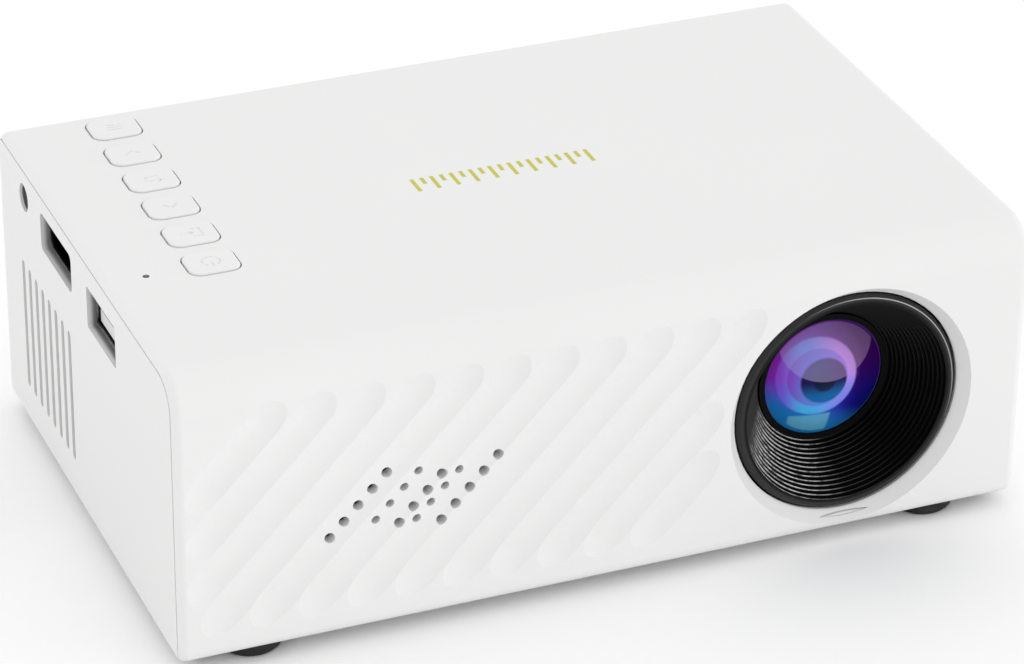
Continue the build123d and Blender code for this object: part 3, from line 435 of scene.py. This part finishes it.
KEY_POLISH = 0.06
SYMBOL_STROKE = 0.24 * MM
PRINT_SUNK = 0.03 * MM
PRINT_PROUD = 0.008 * MM
# Lines of each key's symbol, in millimetres from the key's middle. The front is towards minus Y.
SYMBOLS = {
    # Open ring with a bar in its gap
    "power": (arc(1.25, -60, 240, 26), [(0, -1.5), (0, -0.2)]),
    # Arrow that points into an open frame
    "source": (
        [(-1.5, 0), (0.2, 0)],
        [(-0.3, -0.6), (0.4, 0), (-0.3, 0.6)],
        [(0.2, -1.1), (1.5, -1.1), (1.5, 1.1), (0.2, 1.1)],
    ),
    # Chevron towards the front
    "up": ([(-1.1, 0.5), (0, -0.6), (1.1, 0.5)],),
    # Arrow that turns back on itself
    "return": (
        [(1.2, -0.7), (0.3, -0.7), *arc(0.7, 270, 90, 12, (-0.2, 0)), (1.2, 0.7)],
        [(0.7, -1.3), (1.35, -0.7), (0.7, -0.1)],
    ),
    # Chevron towards the back
    "down": ([(-1.1, -0.5), (0, 0.6), (1.1, -0.5)],),
    # Three short lines
    "menu": tuple([(-1.1, row), (1.1, row)] for row in (-0.7, 0, 0.7)),
}


def add_symbol(shape, key):
    """Adds the lines that are printed on one key."""
    low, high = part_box(f"{key}_key")
    x = (low[0] + high[0]) / 2
    y = (low[1] + high[1]) / 2
    for line in SYMBOLS[key]:
        points = [(x + across * MM, y + along * MM) for across, along in line]
        add_stroke(shape, points, SYMBOL_STROKE, high[2] - PRINT_SUNK, high[2] + PRINT_PROUD)


class PROJECTOR_OT_finish_keys(bpy.types.Operator):
    """Finishes the keys, their switches and the indicator, and prints a faint symbol on each key"""

    bl_idname = "projector.finish_keys"
    bl_label = "Finish Keys"

    def execute(self, context):
        look = context.scene.projector_shell
        caps = white_plastic("white_keys", look, look.roughness - KEY_POLISH)
        stems = grained_plastic("switch_plastic", (0.02, 0.02, 0.022), 0.4)
        ink = grained_plastic("key_symbol_ink", look.symbol_color, 0.5)
        for key in KEYS:
            dress(caps, f"{key}_key")
            dress(stems, f"{key}_switch_stem")
            add_piece(f"{key}_symbol", lambda shape: add_symbol(shape, key), ink, f"{key}_key")
        dress(stems, "switch_bodies")
        dress(clear_plastic("light_guide_plastic", (0.55, 0.6, 0.62), 0.25), "light_guide")
        return {"FINISHED"}


RIM_WIDTH = 1.5 * MM
RIM_LIT_WIDTH = 1.0 * MM
RIM_LINE_IN = 0.62 * MM
RIM_LINE_OUT = 0.47 * MM
RIM_LINE_SOFT = 0.03 * MM
RIB_STEP = 0.4038 * MM
GLINT_SIDE = (-0.6, -0.8)
# Tones of the painted highlights and the painted sheen on the hood's ribs
CREST_HIGHLIGHT_TONE = (0.008, 0.008, 0.008)
LIT_CREST_TONE = (0.05, 0.05, 0.051)
GLINT_TONE = (0.72, 0.72, 0.73)
SHEEN_TONE = (0.04, 0.04, 0.04)
# Tone of the painted highlight line on the rim
RIM_HIGHLIGHT_TONE = (0.45, 0.45, 0.46)


def rib_painted_highlights(hood, look, across, up, radius, wear):
    """Tone inside the hood: black, with a painted highlight that makes the crests grey, a painted glint on
    them at the lower left and a painted sheen on the left.
    """
    facing = hood.split(hood.coordinate("Normal"))[1] * -1.0
    step = ((HOOD_RADIUS - RIM_WIDTH - radius) / RIB_STEP).math("FRACT")
    crest = hood.rise(facing, 0.6, 0.2) * hood.rise(step, 0.62, 0.16)
    lower_left = (across * GLINT_SIDE[0] + up * GLINT_SIDE[1]) / radius
    left = across / radius * -1.0
    # Painted glint on the crests at the lower left, broken up by the wear noise
    glint = crest * hood.rise(lower_left, 0.87, 0.13) * hood.rise(wear, 0.42, 0.2)
    # Painted highlight on every crest, stronger at the lower left, then a painted sheen on the left side
    tone = hood.mix(look.color, CREST_HIGHLIGHT_TONE, crest)
    tone = hood.mix(tone, LIT_CREST_TONE, crest * hood.rise(lower_left, 0.55, 0.4))
    tone = hood.mix(tone, SHEEN_TONE, hood.rise(left, 0.8, 0.2) * 0.8)
    return hood.mix(tone, GLINT_TONE, glint)


def rim_painted_light(hood, look, across, up, radius):
    """Painted light on the flat rim: painted shade towards the inside, and a fine painted highlight line at
    the upper right.
    """
    # Painted shade on the rim's inner part
    inner = scaled(look.rim_color, 0.3)
    tone = hood.blend(inner, look.rim_color, radius, HOOD_RADIUS - RIM_LIT_WIDTH, 0.2 * MM)
    # Painted highlight line near the rim's outer edge, at the upper right
    line = hood.rise(radius, HOOD_RADIUS - RIM_LINE_IN, RIM_LINE_SOFT)
    line = line * hood.fall(radius, HOOD_RADIUS - RIM_LINE_OUT, RIM_LINE_SOFT)
    upper_right = (across + up) / radius
    return hood.mix(tone, RIM_HIGHLIGHT_TONE, line * hood.rise(upper_right, 0.85, 0.5))


def hood_plastic(look):
    """Black moulding of the hood, with painted highlights on the ribs and painted highlight and shade on the
    rim.
    """
    hood = Finish("hood_black", look.color, specular_ior_level=0.06)
    x, _, z = hood.split(hood.coordinate())
    across = x - LENS_X
    up = z - LENS_Z
    radius = distance(across, up)
    # This noise varies the roughness and also breaks up the painted glint on the ribs
    wear = hood.noise(waves=900.0, detail=3.0)
    ribs = rib_painted_highlights(hood, look, across, up, radius, wear)
    rim = rim_painted_light(hood, look, across, up, radius)
    hood.color(hood.blend(ribs, rim, radius, HOOD_RADIUS - RIM_WIDTH + 0.05 * MM, 0.04 * MM))
    hood.roughness(look.roughness + 0.08 * (wear - 0.5))
    hood.bump(hood.noise(GRAIN_WAVES), 0.003 * MM)
    return hood


class PROJECTOR_OT_finish_hood(bpy.types.Operator):
    """Finishes the ribbed hood, the barrel and the guide tube"""

    bl_idname = "projector.finish_hood"
    bl_label = "Finish Lens Hood"

    def execute(self, context):
        dress(hood_plastic(context.scene.projector_hood), "lens_hood")
        barrel = grained_plastic("barrel_black", (0.003, 0.003, 0.0032), 0.5, specular=0.06)
        dress(barrel, "lens_barrel", "lens_mount", "lens_spacer")
        dress(barrel, "lens_retaining_ring", "rear_retaining_ring")
        return {"FINISHED"}


# Places of the reflections painted on the coating, as shares of the glass's radius from its middle
RING_MIDDLE = (-0.19, 0.126)
RING_RADIUS = 0.63
INNER_RING_RADIUS = 0.47
PUPIL_MIDDLE = (-0.1, 0.075)
PUPIL_RADIUS = 0.37
CORE_RADIUS = 0.17
PATCH_X = -0.27
PATCH_HALF_WIDTH = 0.32
PATCH_DROP = 0.52
PATCH_END = 0.9
WINDOW_MIDDLE = (0.02, 0.62)
WINDOW_HALF_SIZE = (0.76, 0.56)
WINDOW_END = 0.93
EDGE_START = 0.95
# Tones of the painted reflections on the coating and of the painted shade in the barrel's opening
FIELD_BLUE = (0.06, 0.04, 0.85)
FIELD_NAVY = (0.006, 0.006, 0.18)
FIELD_VIOLET = (0.26, 0.01, 0.46)
FIELD_PLUM = (0.04, 0.002, 0.11)
FIELD_TEAL = (0.012, 0.2, 0.55)
PATCH_CYAN = (0.16, 0.5, 0.68)
RING_SKY_BLUE = (0.22, 0.3, 0.92)
RING_PINK = (0.62, 0.3, 0.92)
RING_PURPLE = (0.3, 0.07, 0.72)
RING_CYAN = (0.07, 0.46, 0.88)
RING_BLUE = (0.24, 0.26, 0.92)
RING_INDIGO = (0.17, 0.12, 0.84)
INNER_PURPLE = (0.2, 0.02, 0.5)
INNER_BLUE = (0.1, 0.12, 0.7)
PUPIL_TEAL = (0.002, 0.13, 0.38)
PUPIL_BLACK = (0.01, 0.004, 0.08)
CORE_BLACK = (0.002, 0.006, 0.02)
WINDOW_BLUE = (0.46, 0.46, 0.9)
WINDOW_ROSE = (0.5, 0.28, 0.58)
EDGE_TEAL = (0.03, 0.22, 0.5)
EDGE_PURPLE = (0.2, 0.06, 0.55)


def painted_reflection_field(glass, across, up):
    """Painted reflection over the whole glass: blue below and violet above, both darker to the right, with
    teal at the bottom.
    """
    below = glass.blend(FIELD_BLUE, FIELD_NAVY, across, 0.0, 0.6)
    above = glass.blend(FIELD_VIOLET, FIELD_PLUM, across, 0.0, 0.6)
    tone = glass.blend(below, above, up, -0.05, 0.4)
    return glass.blend(tone, FIELD_TEAL, up * -1.0 - across * 0.5, 0.55, 0.3)


def paint_patch_reflection(glass, tone, across, up, radius):
    """Paints the pale reflection at the bottom of the glass over a tone."""
    patch = glass.fall((across - PATCH_X).math("ABSOLUTE"), PATCH_HALF_WIDTH, 0.025)
    patch = patch * glass.rise(up * -1.0, PATCH_DROP, 0.02) * glass.fall(radius, PATCH_END, 0.015)
    return glass.mix(tone, PATCH_CYAN, patch * 0.7)


def paint_ring_reflections(glass, tone, across, up):
    """Paints the bright reflection of the element behind, a ring, over a tone, with a darker painted ring
    inside it.
    """
    x = across - RING_MIDDLE[0]
    z = up - RING_MIDDLE[1]
    radius = distance(x, z)
    above = glass.blend(RING_SKY_BLUE, RING_PINK, x, 0.1, 0.3)
    above = glass.blend(RING_PURPLE, above, x, -0.4, 0.2)
    below = glass.blend(RING_CYAN, RING_BLUE, x, 0.15, 0.25)
    below = glass.blend(RING_INDIGO, below, x, -0.38, 0.18)
    ring = glass.blend(below, above, z, -0.1, 0.25)
    tone = glass.mix(tone, ring, glass.fall(radius, RING_RADIUS, 0.025) * 0.96)
    inner = glass.blend(INNER_PURPLE, INNER_BLUE, x, -0.1, 0.3)
    return glass.mix(tone, inner, glass.fall(radius, INNER_RING_RADIUS, 0.02) * 0.6)


def paint_pupil_shade(glass, tone, across, up):
    """Paints the dark opening in the barrel over a tone: painted shade, with a painted teal reflection in its
    lower part.
    """
    z = up - PUPIL_MIDDLE[1]
    radius = distance(across - PUPIL_MIDDLE[0], z)
    pupil = glass.blend(PUPIL_TEAL, PUPIL_BLACK, z, -0.14, 0.16)
    tone = glass.mix(tone, pupil, glass.fall(radius, PUPIL_RADIUS, 0.025))
    return glass.mix(tone, CORE_BLACK, glass.fall(radius, CORE_RADIUS, 0.03) * 0.8)


def paint_window_reflection(glass, tone, across, up, radius):
    """Paints the large pale reflection in the upper half over a tone."""
    x = (across - WINDOW_MIDDLE[0]) / WINDOW_HALF_SIZE[0]
    z = (up - WINDOW_MIDDLE[1]) / WINDOW_HALF_SIZE[1]
    window = glass.fall(distance(x, z), 1.0, 0.02) * glass.fall(radius, WINDOW_END, 0.015)
    pale = glass.blend(WINDOW_BLUE, WINDOW_ROSE, across, 0.0, 0.5)
    return glass.mix(tone, pale, window * 0.32)


def paint_edge_reflection(glass, tone, up, radius):
    """Paints a brighter reflection along the outer edge of the glass over a tone."""
    edge = glass.blend(EDGE_TEAL, EDGE_PURPLE, up, -0.4, 0.3)
    return glass.mix(tone, edge, glass.rise(radius, EDGE_START, 0.012) * 0.8)


def coated_glass():
    """Front element's coating with painted reflections: violet, blue and cyan bands with the rings of the
    elements behind.
    """
    glass = Finish("coated_glass", (0.1, 0.05, 0.4), specular_ior_level=0.09, roughness=0.06)
    x, _, z = glass.split(glass.coordinate())
    across = (x - LENS_X) / GLASS_RADIUS
    up = (z - LENS_Z) / GLASS_RADIUS
    radius = distance(across, up)
    tone = painted_reflection_field(glass, across, up)
    tone = paint_patch_reflection(glass, tone, across, up, radius)
    tone = paint_ring_reflections(glass, tone, across, up)
    tone = paint_pupil_shade(glass, tone, across, up)
    tone = paint_window_reflection(glass, tone, across, up, radius)
    glass.color(paint_edge_reflection(glass, tone, up, radius))
    return glass


class PROJECTOR_OT_finish_glass(bpy.types.Operator):
    """Finishes the coated front element, the lenses behind it, the panel and the mirror"""

    bl_idname = "projector.finish_glass"
    bl_label = "Finish Glass"

    def execute(self, context):
        dress(coated_glass(), "front_lens")
        plain = clear_plastic("optical_glass", (0.86, 0.9, 0.92), 0.02)
        dress(plain, "middle_lens", "rear_lens", "condenser_lens")
        ribbed = clear_plastic("fresnel_plastic", (0.8, 0.84, 0.86), 0.12)
        dress(ribbed, "rear_fresnel_lens", "front_fresnel_lens")
        panel = smooth_finish("panel_glass", (0.02, 0.02, 0.035), 0.1, 0.05, 300.0, coat_weight=0.6)
        dress(panel, "lcd_panel")
        mirror = smooth_finish("mirror_silver", (0.9, 0.9, 0.9), 0.02, 0.03, 200.0, metallic=1.0)
        dress(mirror, "fold_mirror")
        return {"FINISHED"}


USB_CONTACTS = 4
USB_PITCH = 2.3 * MM
USB_CONTACT_WIDTH = 1.0 * MM
USB_TONGUE_RISE = -0.1 * MM
HDMI_CONTACTS = 10
HDMI_PITCH = 1.0 * MM
HDMI_CONTACT_WIDTH = 0.4 * MM
HDMI_TONGUE_RISE = 1.0 * MM
CONTACT_FROM_MOUTH = 1.9 * MM
CONTACT_FROM_BACK = 0.8 * MM
CONTACT_SUNK = 0.05 * MM
CONTACT_PROUD = 0.04 * MM
JACK_AXIS_DROP = 2.6 * MM
JACK_RING_FRONT = 0.3 * MM
JACK_RING_BACK = 3.5 * MM
JACK_RING_OUTER = 1.74 * MM
JACK_RING_BORE = 1.5 * MM
JACK_RING_SIDES = 32


def add_contacts(shape, socket, count, pitch, width, tongue_rise):
    """Flat contacts in a row on a socket's tongue, which lies this far from the socket's middle."""
    low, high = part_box(socket)
    middle_y = (low[1] + high[1]) / 2
    top = (low[2] + high[2]) / 2 + tongue_rise
    for number in range(count):
        y = middle_y + (number - (count - 1) / 2) * pitch
        front = (low[0] + CONTACT_FROM_MOUTH, y - width / 2, top - CONTACT_SUNK)
        back = (high[0] - CONTACT_FROM_BACK, y + width / 2, top + CONTACT_PROUD)
        add_bar(shape, front, back)


def add_usb_contacts(shape):
    """Contacts of the USB socket."""
    add_contacts(shape, "usb_socket", USB_CONTACTS, USB_PITCH, USB_CONTACT_WIDTH, USB_TONGUE_RISE)


def add_hdmi_contacts(shape):
    """Contacts of the HDMI socket."""
    add_contacts(shape, "hdmi_socket", HDMI_CONTACTS, HDMI_PITCH, HDMI_CONTACT_WIDTH, HDMI_TONGUE_RISE)


def add_jack_ring(shape):
    """Metal contact ring in the mouth of the round jack."""
    low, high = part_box("av_jack")
    mouth = Vector((low[0], (low[1] + high[1]) / 2, high[2] - JACK_AXIS_DROP))
    profile = ((JACK_RING_FRONT, JACK_RING_OUTER), (JACK_RING_FRONT, JACK_RING_BORE),
               (JACK_RING_BACK, JACK_RING_BORE), (JACK_RING_BACK, JACK_RING_OUTER))
    rings = []
    for x, radius in profile:
        circle = arc(radius, 0, 360, JACK_RING_SIDES)[:-1]
        rings.append([shape.verts.new(mouth + Vector((x, y, z))) for y, z in circle])
    join_rings(shape, rings, looped=True)


SOCKET_GREY = (0.24, 0.24, 0.25)
SOCKET_WORN = (0.34, 0.34, 0.35)
SOCKET_PAINTED_SHADE = (0.025, 0.025, 0.027)
DRAWN_ALONG_X = (0.15, 1, 1)


def socket_metal():
    """Worn sheet metal, with painted shade behind the socket's mouth."""
    finish = Finish("socket_metal", SOCKET_WORN, metallic=1.0)
    marks = brush(finish, 0.3, DRAWN_ALONG_X)
    worn = finish.blend(SOCKET_GREY, SOCKET_WORN, marks, 0.45, 0.25)
    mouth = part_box("hdmi_socket")[0][0]
    inwards = finish.split(finish.coordinate())[0]
    # Painted shade: the metal goes dark from just behind the mouth inwards
    finish.color(finish.blend(worn, SOCKET_PAINTED_SHADE, inwards, mouth + 0.2 * MM, 0.3 * MM))
    return finish


class PROJECTOR_OT_fit_sockets(bpy.types.Operator):
    """Finishes the sockets and adds their contacts"""

    bl_idname = "projector.fit_sockets"
    bl_label = "Fit Sockets"

    def execute(self, context):
        dress(socket_metal(), "hdmi_socket", "usb_socket")
        dress(grained_plastic("socket_black", (0.012, 0.012, 0.013), 0.42), "hdmi_insert", "power_inlet")
        dress(grained_plastic("jack_grey", (0.1, 0.1, 0.102), 0.42), "av_jack")
        dress(smooth_finish("tongue_white", (0.78, 0.78, 0.77), 0.4, 0.1, 1500.0), "usb_insert")
        pin = metal("pin_metal", (0.62, 0.62, 0.63), 0.3, DRAWN_ALONG_X)
        dress(pin, "inlet_contact")
        gold = metal("contact_gold", (0.75, 0.55, 0.2), 0.25, (0.2, 1, 1))
        add_piece("usb_contacts", add_usb_contacts, gold, "case")
        add_piece("hdmi_contacts", add_hdmi_contacts, gold, "case")
        add_piece("jack_contact_ring", add_jack_ring, pin, "case")
        return {"FINISHED"}


BOARD_GREEN = (0.02, 0.13, 0.05)
TRACK_GREEN = (0.044, 0.231, 0.095)
FILM_AMBER = (0.5, 0.24, 0.05)
FILM_LIGHT = (0.62, 0.36, 0.1)


def circuit_board():
    """Solder mask with faint tracks."""
    board = Finish("green_board", BOARD_GREEN, specular_ior_level=0.5)
    track = board.rise(board.cells(waves=420.0), 0.32, 0.04)
    board.color(board.mix(BOARD_GREEN, TRACK_GREEN, track))
    board.roughness(0.32 + 0.1 * board.noise(waves=700.0))
    board.bump(track, 0.02 * MM)
    return board


def gasket_foam():
    """Black foam with open pores."""
    foam = smooth_finish("gasket_foam", (0.02, 0.02, 0.02), 0.85, 0.1, 900.0)
    foam.bump(foam.cells(waves=2200.0), 0.08 * MM)
    return foam


def cone_paper():
    """Dark paper with drawn-out fibres."""
    cone = Finish("cone_paper", (0.035, 0.035, 0.036))
    fibres = cone.noise(waves=1800.0, detail=4.0, stretch=(1, 0.4, 1))
    cone.roughness(0.75 + 0.2 * (fibres - 0.5))
    cone.bump(fibres, 0.03 * MM)
    return cone


def ribbon_film():
    """Amber film with conductors along it."""
    ribbon = Finish("ribbon_film", FILM_AMBER, coat_weight=0.3)
    stripes = ribbon.noise(waves=2600.0, detail=1.0, stretch=(0.02, 1, 0.02))
    ribbon.color(ribbon.blend(FILM_AMBER, FILM_LIGHT, stripes, 0.5, 0.08))
    return ribbon


class PROJECTOR_OT_finish_inside(bpy.types.Operator):
    """Finishes what the housing holds: boards, fan, heat sink, engine and speaker"""

    bl_idname = "projector.finish_inside"
    bl_label = "Finish Inside"

    def execute(self, context):
        dress(circuit_board(), "main_board", "key_board", "power_board")
        black = grained_plastic("inner_black", (0.018, 0.018, 0.02), 0.55, waves=2600.0)
        dress(black, "board_chips", "fan_frame", "fan_rotor", "engine_body", "engine_lid", "condenser_holder")
        dress(metal("sink_aluminium", (0.74, 0.74, 0.76), 0.38, (1, 1, 0.08)), "heat_sink", "led_module")
        dress(metal("basket_steel", (0.4, 0.4, 0.41), 0.4, (1, 0.3, 1)), "speaker_basket")
        magnet = smooth_finish("magnet_iron", (0.05, 0.05, 0.055), 0.45, 0.2, 500.0, metallic=0.6)
        dress(magnet, "speaker_magnet")
        dress(gasket_foam(), "speaker_gasket")
        dress(cone_paper(), "speaker_cone")
        dress(ribbon_film(), "panel_ribbon")
        return {"FINISHED"}


THREAD_RADIUS = 3.17 * MM
THREAD_PITCH = 1.27 * MM
THREAD_DEPTH = 0.55 * MM
THREAD_HALF_FOOT = 0.55 * MM
THREAD_HALF_CREST = 0.08 * MM
THREAD_STEPS = 36
BARE_TURNS = 0.7
SCREW_INSET = 2.0 * MM
SLOT_REACH = 1.25 * MM
SLOT_HALF_WIDTH = 0.22 * MM
SLOT_PROUD = 0.01 * MM
SLOT_SUNK = 0.05 * MM
RUBBER_BLACK = (0.018, 0.018, 0.018)
RUBBER_DUST = (0.04, 0.04, 0.039)


def add_thread(shape):
    """One unbroken V-shaped thread inside the tripod insert."""
    low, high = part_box("tripod_insert")
    middle = Vector(((low[0] + high[0]) / 2, (low[1] + high[1]) / 2, 0))
    crest_radius = THREAD_RADIUS - THREAD_DEPTH
    profile = ((THREAD_RADIUS, -THREAD_HALF_FOOT), (crest_radius, -THREAD_HALF_CREST),
               (crest_radius, THREAD_HALF_CREST), (THREAD_RADIUS, THREAD_HALF_FOOT))
    turns = (high[2] - low[2]) / THREAD_PITCH - 2 * BARE_TURNS
    rings = []
    for number in range(int(turns * THREAD_STEPS) + 1):
        angle = math.tau * number / THREAD_STEPS
        out = Vector((math.cos(angle), math.sin(angle), 0))
        z = low[2] + THREAD_PITCH * (BARE_TURNS + number / THREAD_STEPS)
        spots = [middle + out * radius + Vector((0, 0, z + rise)) for radius, rise in profile]
        rings.append([shape.verts.new(spot) for spot in spots])
    join_rings(shape, rings)


def add_painted_slot_shade(shape):
    """Cross recess drawn on the head of each case screw as a thin dark sheet of painted shade."""
    low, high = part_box("case_screws")
    arm = ((SLOT_REACH, -SLOT_HALF_WIDTH), (SLOT_REACH, SLOT_HALF_WIDTH), (SLOT_HALF_WIDTH, SLOT_HALF_WIDTH))
    turns = [Matrix.Rotation(math.radians(90 * number + 45), 2) for number in range(4)]
    outline = [turn @ Vector(point) for turn in turns for point in arm]
    heights = (low[2] - SLOT_PROUD, low[2] + SLOT_SUNK)
    for x in (low[0] + SCREW_INSET, high[0] - SCREW_INSET):
        for y in (low[1] + SCREW_INSET, high[1] - SCREW_INSET):
            rings = [[shape.verts.new((x + spot.x, y + spot.y, z)) for spot in outline] for z in heights]
            join_rings(shape, rings)


def foot_rubber():
    """Black rubber with a little dust."""
    rubber = Finish("foot_rubber", RUBBER_BLACK, specular_ior_level=0.3)
    dust = rubber.noise(waves=650.0, detail=4.0)
    rubber.color(rubber.blend(RUBBER_BLACK, RUBBER_DUST, dust, 0.62, 0.12))
    rubber.roughness(0.72 + 0.15 * (dust - 0.5))
    rubber.bump(dust, 0.02 * MM)
    return rubber


class PROJECTOR_OT_finish_underside(bpy.types.Operator):
    """Finishes the feet, the screws and the tripod insert, with its thread"""

    bl_idname = "projector.finish_underside"
    bl_label = "Finish Underside"

    def execute(self, context):
        dress(foot_rubber(), "rubber_feet")
        steel = metal("screw_steel", (0.32, 0.32, 0.33), 0.32, (1, 1, 1))
        dress(steel, "case_screws", "board_screws", "engine_screws")
        brass = metal("insert_brass", (0.76, 0.57, 0.28), 0.28, (1, 1, 6))
        dress(brass, "tripod_insert")
        add_piece("tripod_thread_ridge", add_thread, brass, "case")
        # Black cross on each screw head: painted shade in place of a cross recess
        painted_slot_shade = grained_plastic("slot_shadow", (0.01, 0.01, 0.01), 0.6)
        add_piece("screw_slot_painted_shade", add_painted_slot_shade, painted_slot_shade, "case")
        return {"FINISHED"}


SCALE_X = 0.25 * MM
SCALE_Y = 1.5 * MM
SCALE_MARKS = 19
SHORT_MARK = 0.5


def scale_ink(look):
    """Ink of the printed scale, a little paler where it is worn."""
    ink = Finish("scale_ink", look.color, specular_ior_level=0.5)
    wear = ink.noise(waves=2600.0, detail=3.0)
    ink.color(ink.blend(look.color, scaled(look.color, 1.15), wear, 0.55, 0.2))
    ink.roughness(0.38 + 0.1 * wear)
    return ink


def add_scale(shape, look):
    """Adds the scale's strokes, a long one and a short one by turns."""
    top = SHELL_HIGH[2]
    start = SCALE_Y + look.height / 2
    for number in range(SCALE_MARKS):
        x = SCALE_X + look.length * (number / (SCALE_MARKS - 1) - 0.5)
        height = look.height * (SHORT_MARK if number % 2 else 1.0)
        points = [(x, start), (x, start - height)]
        add_stroke(shape, points, look.stroke, top - PRINT_SUNK, top + PRINT_PROUD)


class PROJECTOR_OT_print_scale(bpy.types.Operator):
    """Prints a plain scale of long and short strokes on the top"""

    bl_idname = "projector.print_scale"
    bl_label = "Print Scale"

    def execute(self, context):
        look = context.scene.projector_print
        ink = scale_ink(look)
        add_piece("printed_scale", lambda shape: add_scale(shape, look), ink, "case")
        return {"FINISHED"}


CAMERA_PLACE = Vector((-208.98, -510.65, 327.84)) * MM
CAMERA_TARGET = Vector((1.28, 0.0, 19.876)) * MM
CAMERA_ROLL = math.radians(0.649)
SIDE_SUN = (0.9, -0.42, 0.04)
SIDE_SUN_SPREAD = math.radians(10.0)
TOP_SUN = (0.1, 0.55, 0.85)
TOP_SUN_SPREAD = math.radians(60.0)
FLOOR_TONE = (0.97, 0.97, 0.97)
WHITE = (1.0, 1.0, 1.0)


def add_camera(focal_length):
    """Camera at the photograph's angle."""
    camera = bpy.data.cameras.new("camera")
    camera.lens = focal_length
    camera.sensor_width = 36.0
    camera.clip_start = 0.01
    holder = add_object("camera", camera)
    back = (CAMERA_PLACE - CAMERA_TARGET).normalized()
    right = Vector((0, 0, 1)).cross(back).normalized()
    up = back.cross(right)
    rolled_right = right * math.cos(CAMERA_ROLL) + up * math.sin(CAMERA_ROLL)
    rolled_up = back.cross(rolled_right)
    turn = Matrix((rolled_right, rolled_up, back)).transposed().to_4x4()
    holder.matrix_world = Matrix.Translation(CAMERA_PLACE) @ turn
    bpy.context.scene.camera = holder


def add_sun(name, direction, strength, spread):
    """Soft sun that shines from this direction and shows in no reflection."""
    lamp = bpy.data.lights.new(name, "SUN")
    lamp.energy = strength
    lamp.angle = spread
    holder = add_object(name, lamp)
    holder.rotation_euler = Vector(direction).to_track_quat("Z", "Y").to_euler()
    holder.visible_glossy = False


def seen_directly(finish):
    """1 for rays that come straight from the camera or by way of metal or glass."""
    seen = finish.node("ShaderNodeLightPath", output="Is Camera Ray")
    for other in ("Is Glossy Ray", "Is Transmission Ray"):
        seen = seen.math("MAXIMUM", finish.node("ShaderNodeLightPath", output=other))
    return seen


def add_floor(size):
    """Plain pale floor, white where the camera sees it."""
    floor = Finish("floor_paper", FLOOR_TONE, specular_ior_level=0.0, roughness=0.9)
    floor.color(floor.mix(FLOOR_TONE, WHITE, seen_directly(floor)))
    shape = bmesh.new()
    bmesh.ops.create_grid(shape, x_segments=1, y_segments=1, size=size / 2)
    holder = add_mesh("floor", shape, floor)


def light_sky(level):
    """Even white light from all round."""
    world = bpy.data.worlds.new("studio")
    world.use_nodes = True
    background = world.node_tree.nodes["Background"]
    background.inputs["Color"].default_value = opaque(WHITE)
    background.inputs["Strength"].default_value = level
    bpy.context.scene.world = world


class PROJECTOR_OT_set_stage(bpy.types.Operator):
    """Sets the floor, the light and the camera"""

    bl_idname = "projector.set_stage"
    bl_label = "Set Stage"

    def execute(self, context):
        look = context.scene.projector_stage
        context.scene.view_settings.view_transform = "Standard"
        add_floor(look.floor_size)
        light_sky(look.sky)
        add_sun("side_sun", SIDE_SUN, look.side_light, SIDE_SUN_SPREAD)
        add_sun("top_sun", TOP_SUN, look.top_light, TOP_SUN_SPREAD)
        add_camera(look.focal_length)
        return {"FINISHED"}


OPERATORS = (
    PROJECTOR_OT_finish_shells,
    PROJECTOR_OT_finish_keys,
    PROJECTOR_OT_finish_hood,
    PROJECTOR_OT_finish_glass,
    PROJECTOR_OT_fit_sockets,
    PROJECTOR_OT_finish_inside,
    PROJECTOR_OT_finish_underside,
    PROJECTOR_OT_print_scale,
    PROJECTOR_OT_set_stage,
)
LOOKS = {
    "projector_shell": ShellLook,
    "projector_hood": HoodLook,
    "projector_print": PrintLook,
    "projector_stage": StageLook,
}


class PROJECTOR_PT_sidebar(bpy.types.Panel):
    """Lists the steps and the values they use"""

    bl_idname = "PROJECTOR_PT_sidebar"
    bl_label = "Mini Projector"
    bl_space_type = "VIEW_3D"
    bl_region_type = "UI"
    bl_category = "Projector"

    def draw(self, context):
        layout = self.layout
        for name in LOOKS:
            box = layout.box()
            look = getattr(context.scene, name)
            for label in look.__class__.__annotations__:
                box.prop(look, label)
        for operator in OPERATORS:
            layout.operator(operator.bl_idname)


def register():
    """Registers the values, the steps and the panel."""
    for name, look in LOOKS.items():
        bpy.utils.register_class(look)
        setattr(bpy.types.Scene, name, bpy.props.PointerProperty(type=look))
    for operator in OPERATORS:
        bpy.utils.register_class(operator)
    bpy.utils.register_class(PROJECTOR_PT_sidebar)


def unregister():
    """Takes the panel, the steps and the values away again."""
    bpy.utils.unregister_class(PROJECTOR_PT_sidebar)
    for operator in reversed(OPERATORS):
        bpy.utils.unregister_class(operator)
    for name, look in LOOKS.items():
        delattr(bpy.types.Scene, name)
        bpy.utils.unregister_class(look)


def main():
    """Runs every step in order."""
    register()
    for operator in OPERATORS:
        group, name = operator.bl_idname.split(".")
        getattr(getattr(bpy.ops, group), name)()


if __name__ == "__main__":
    main()
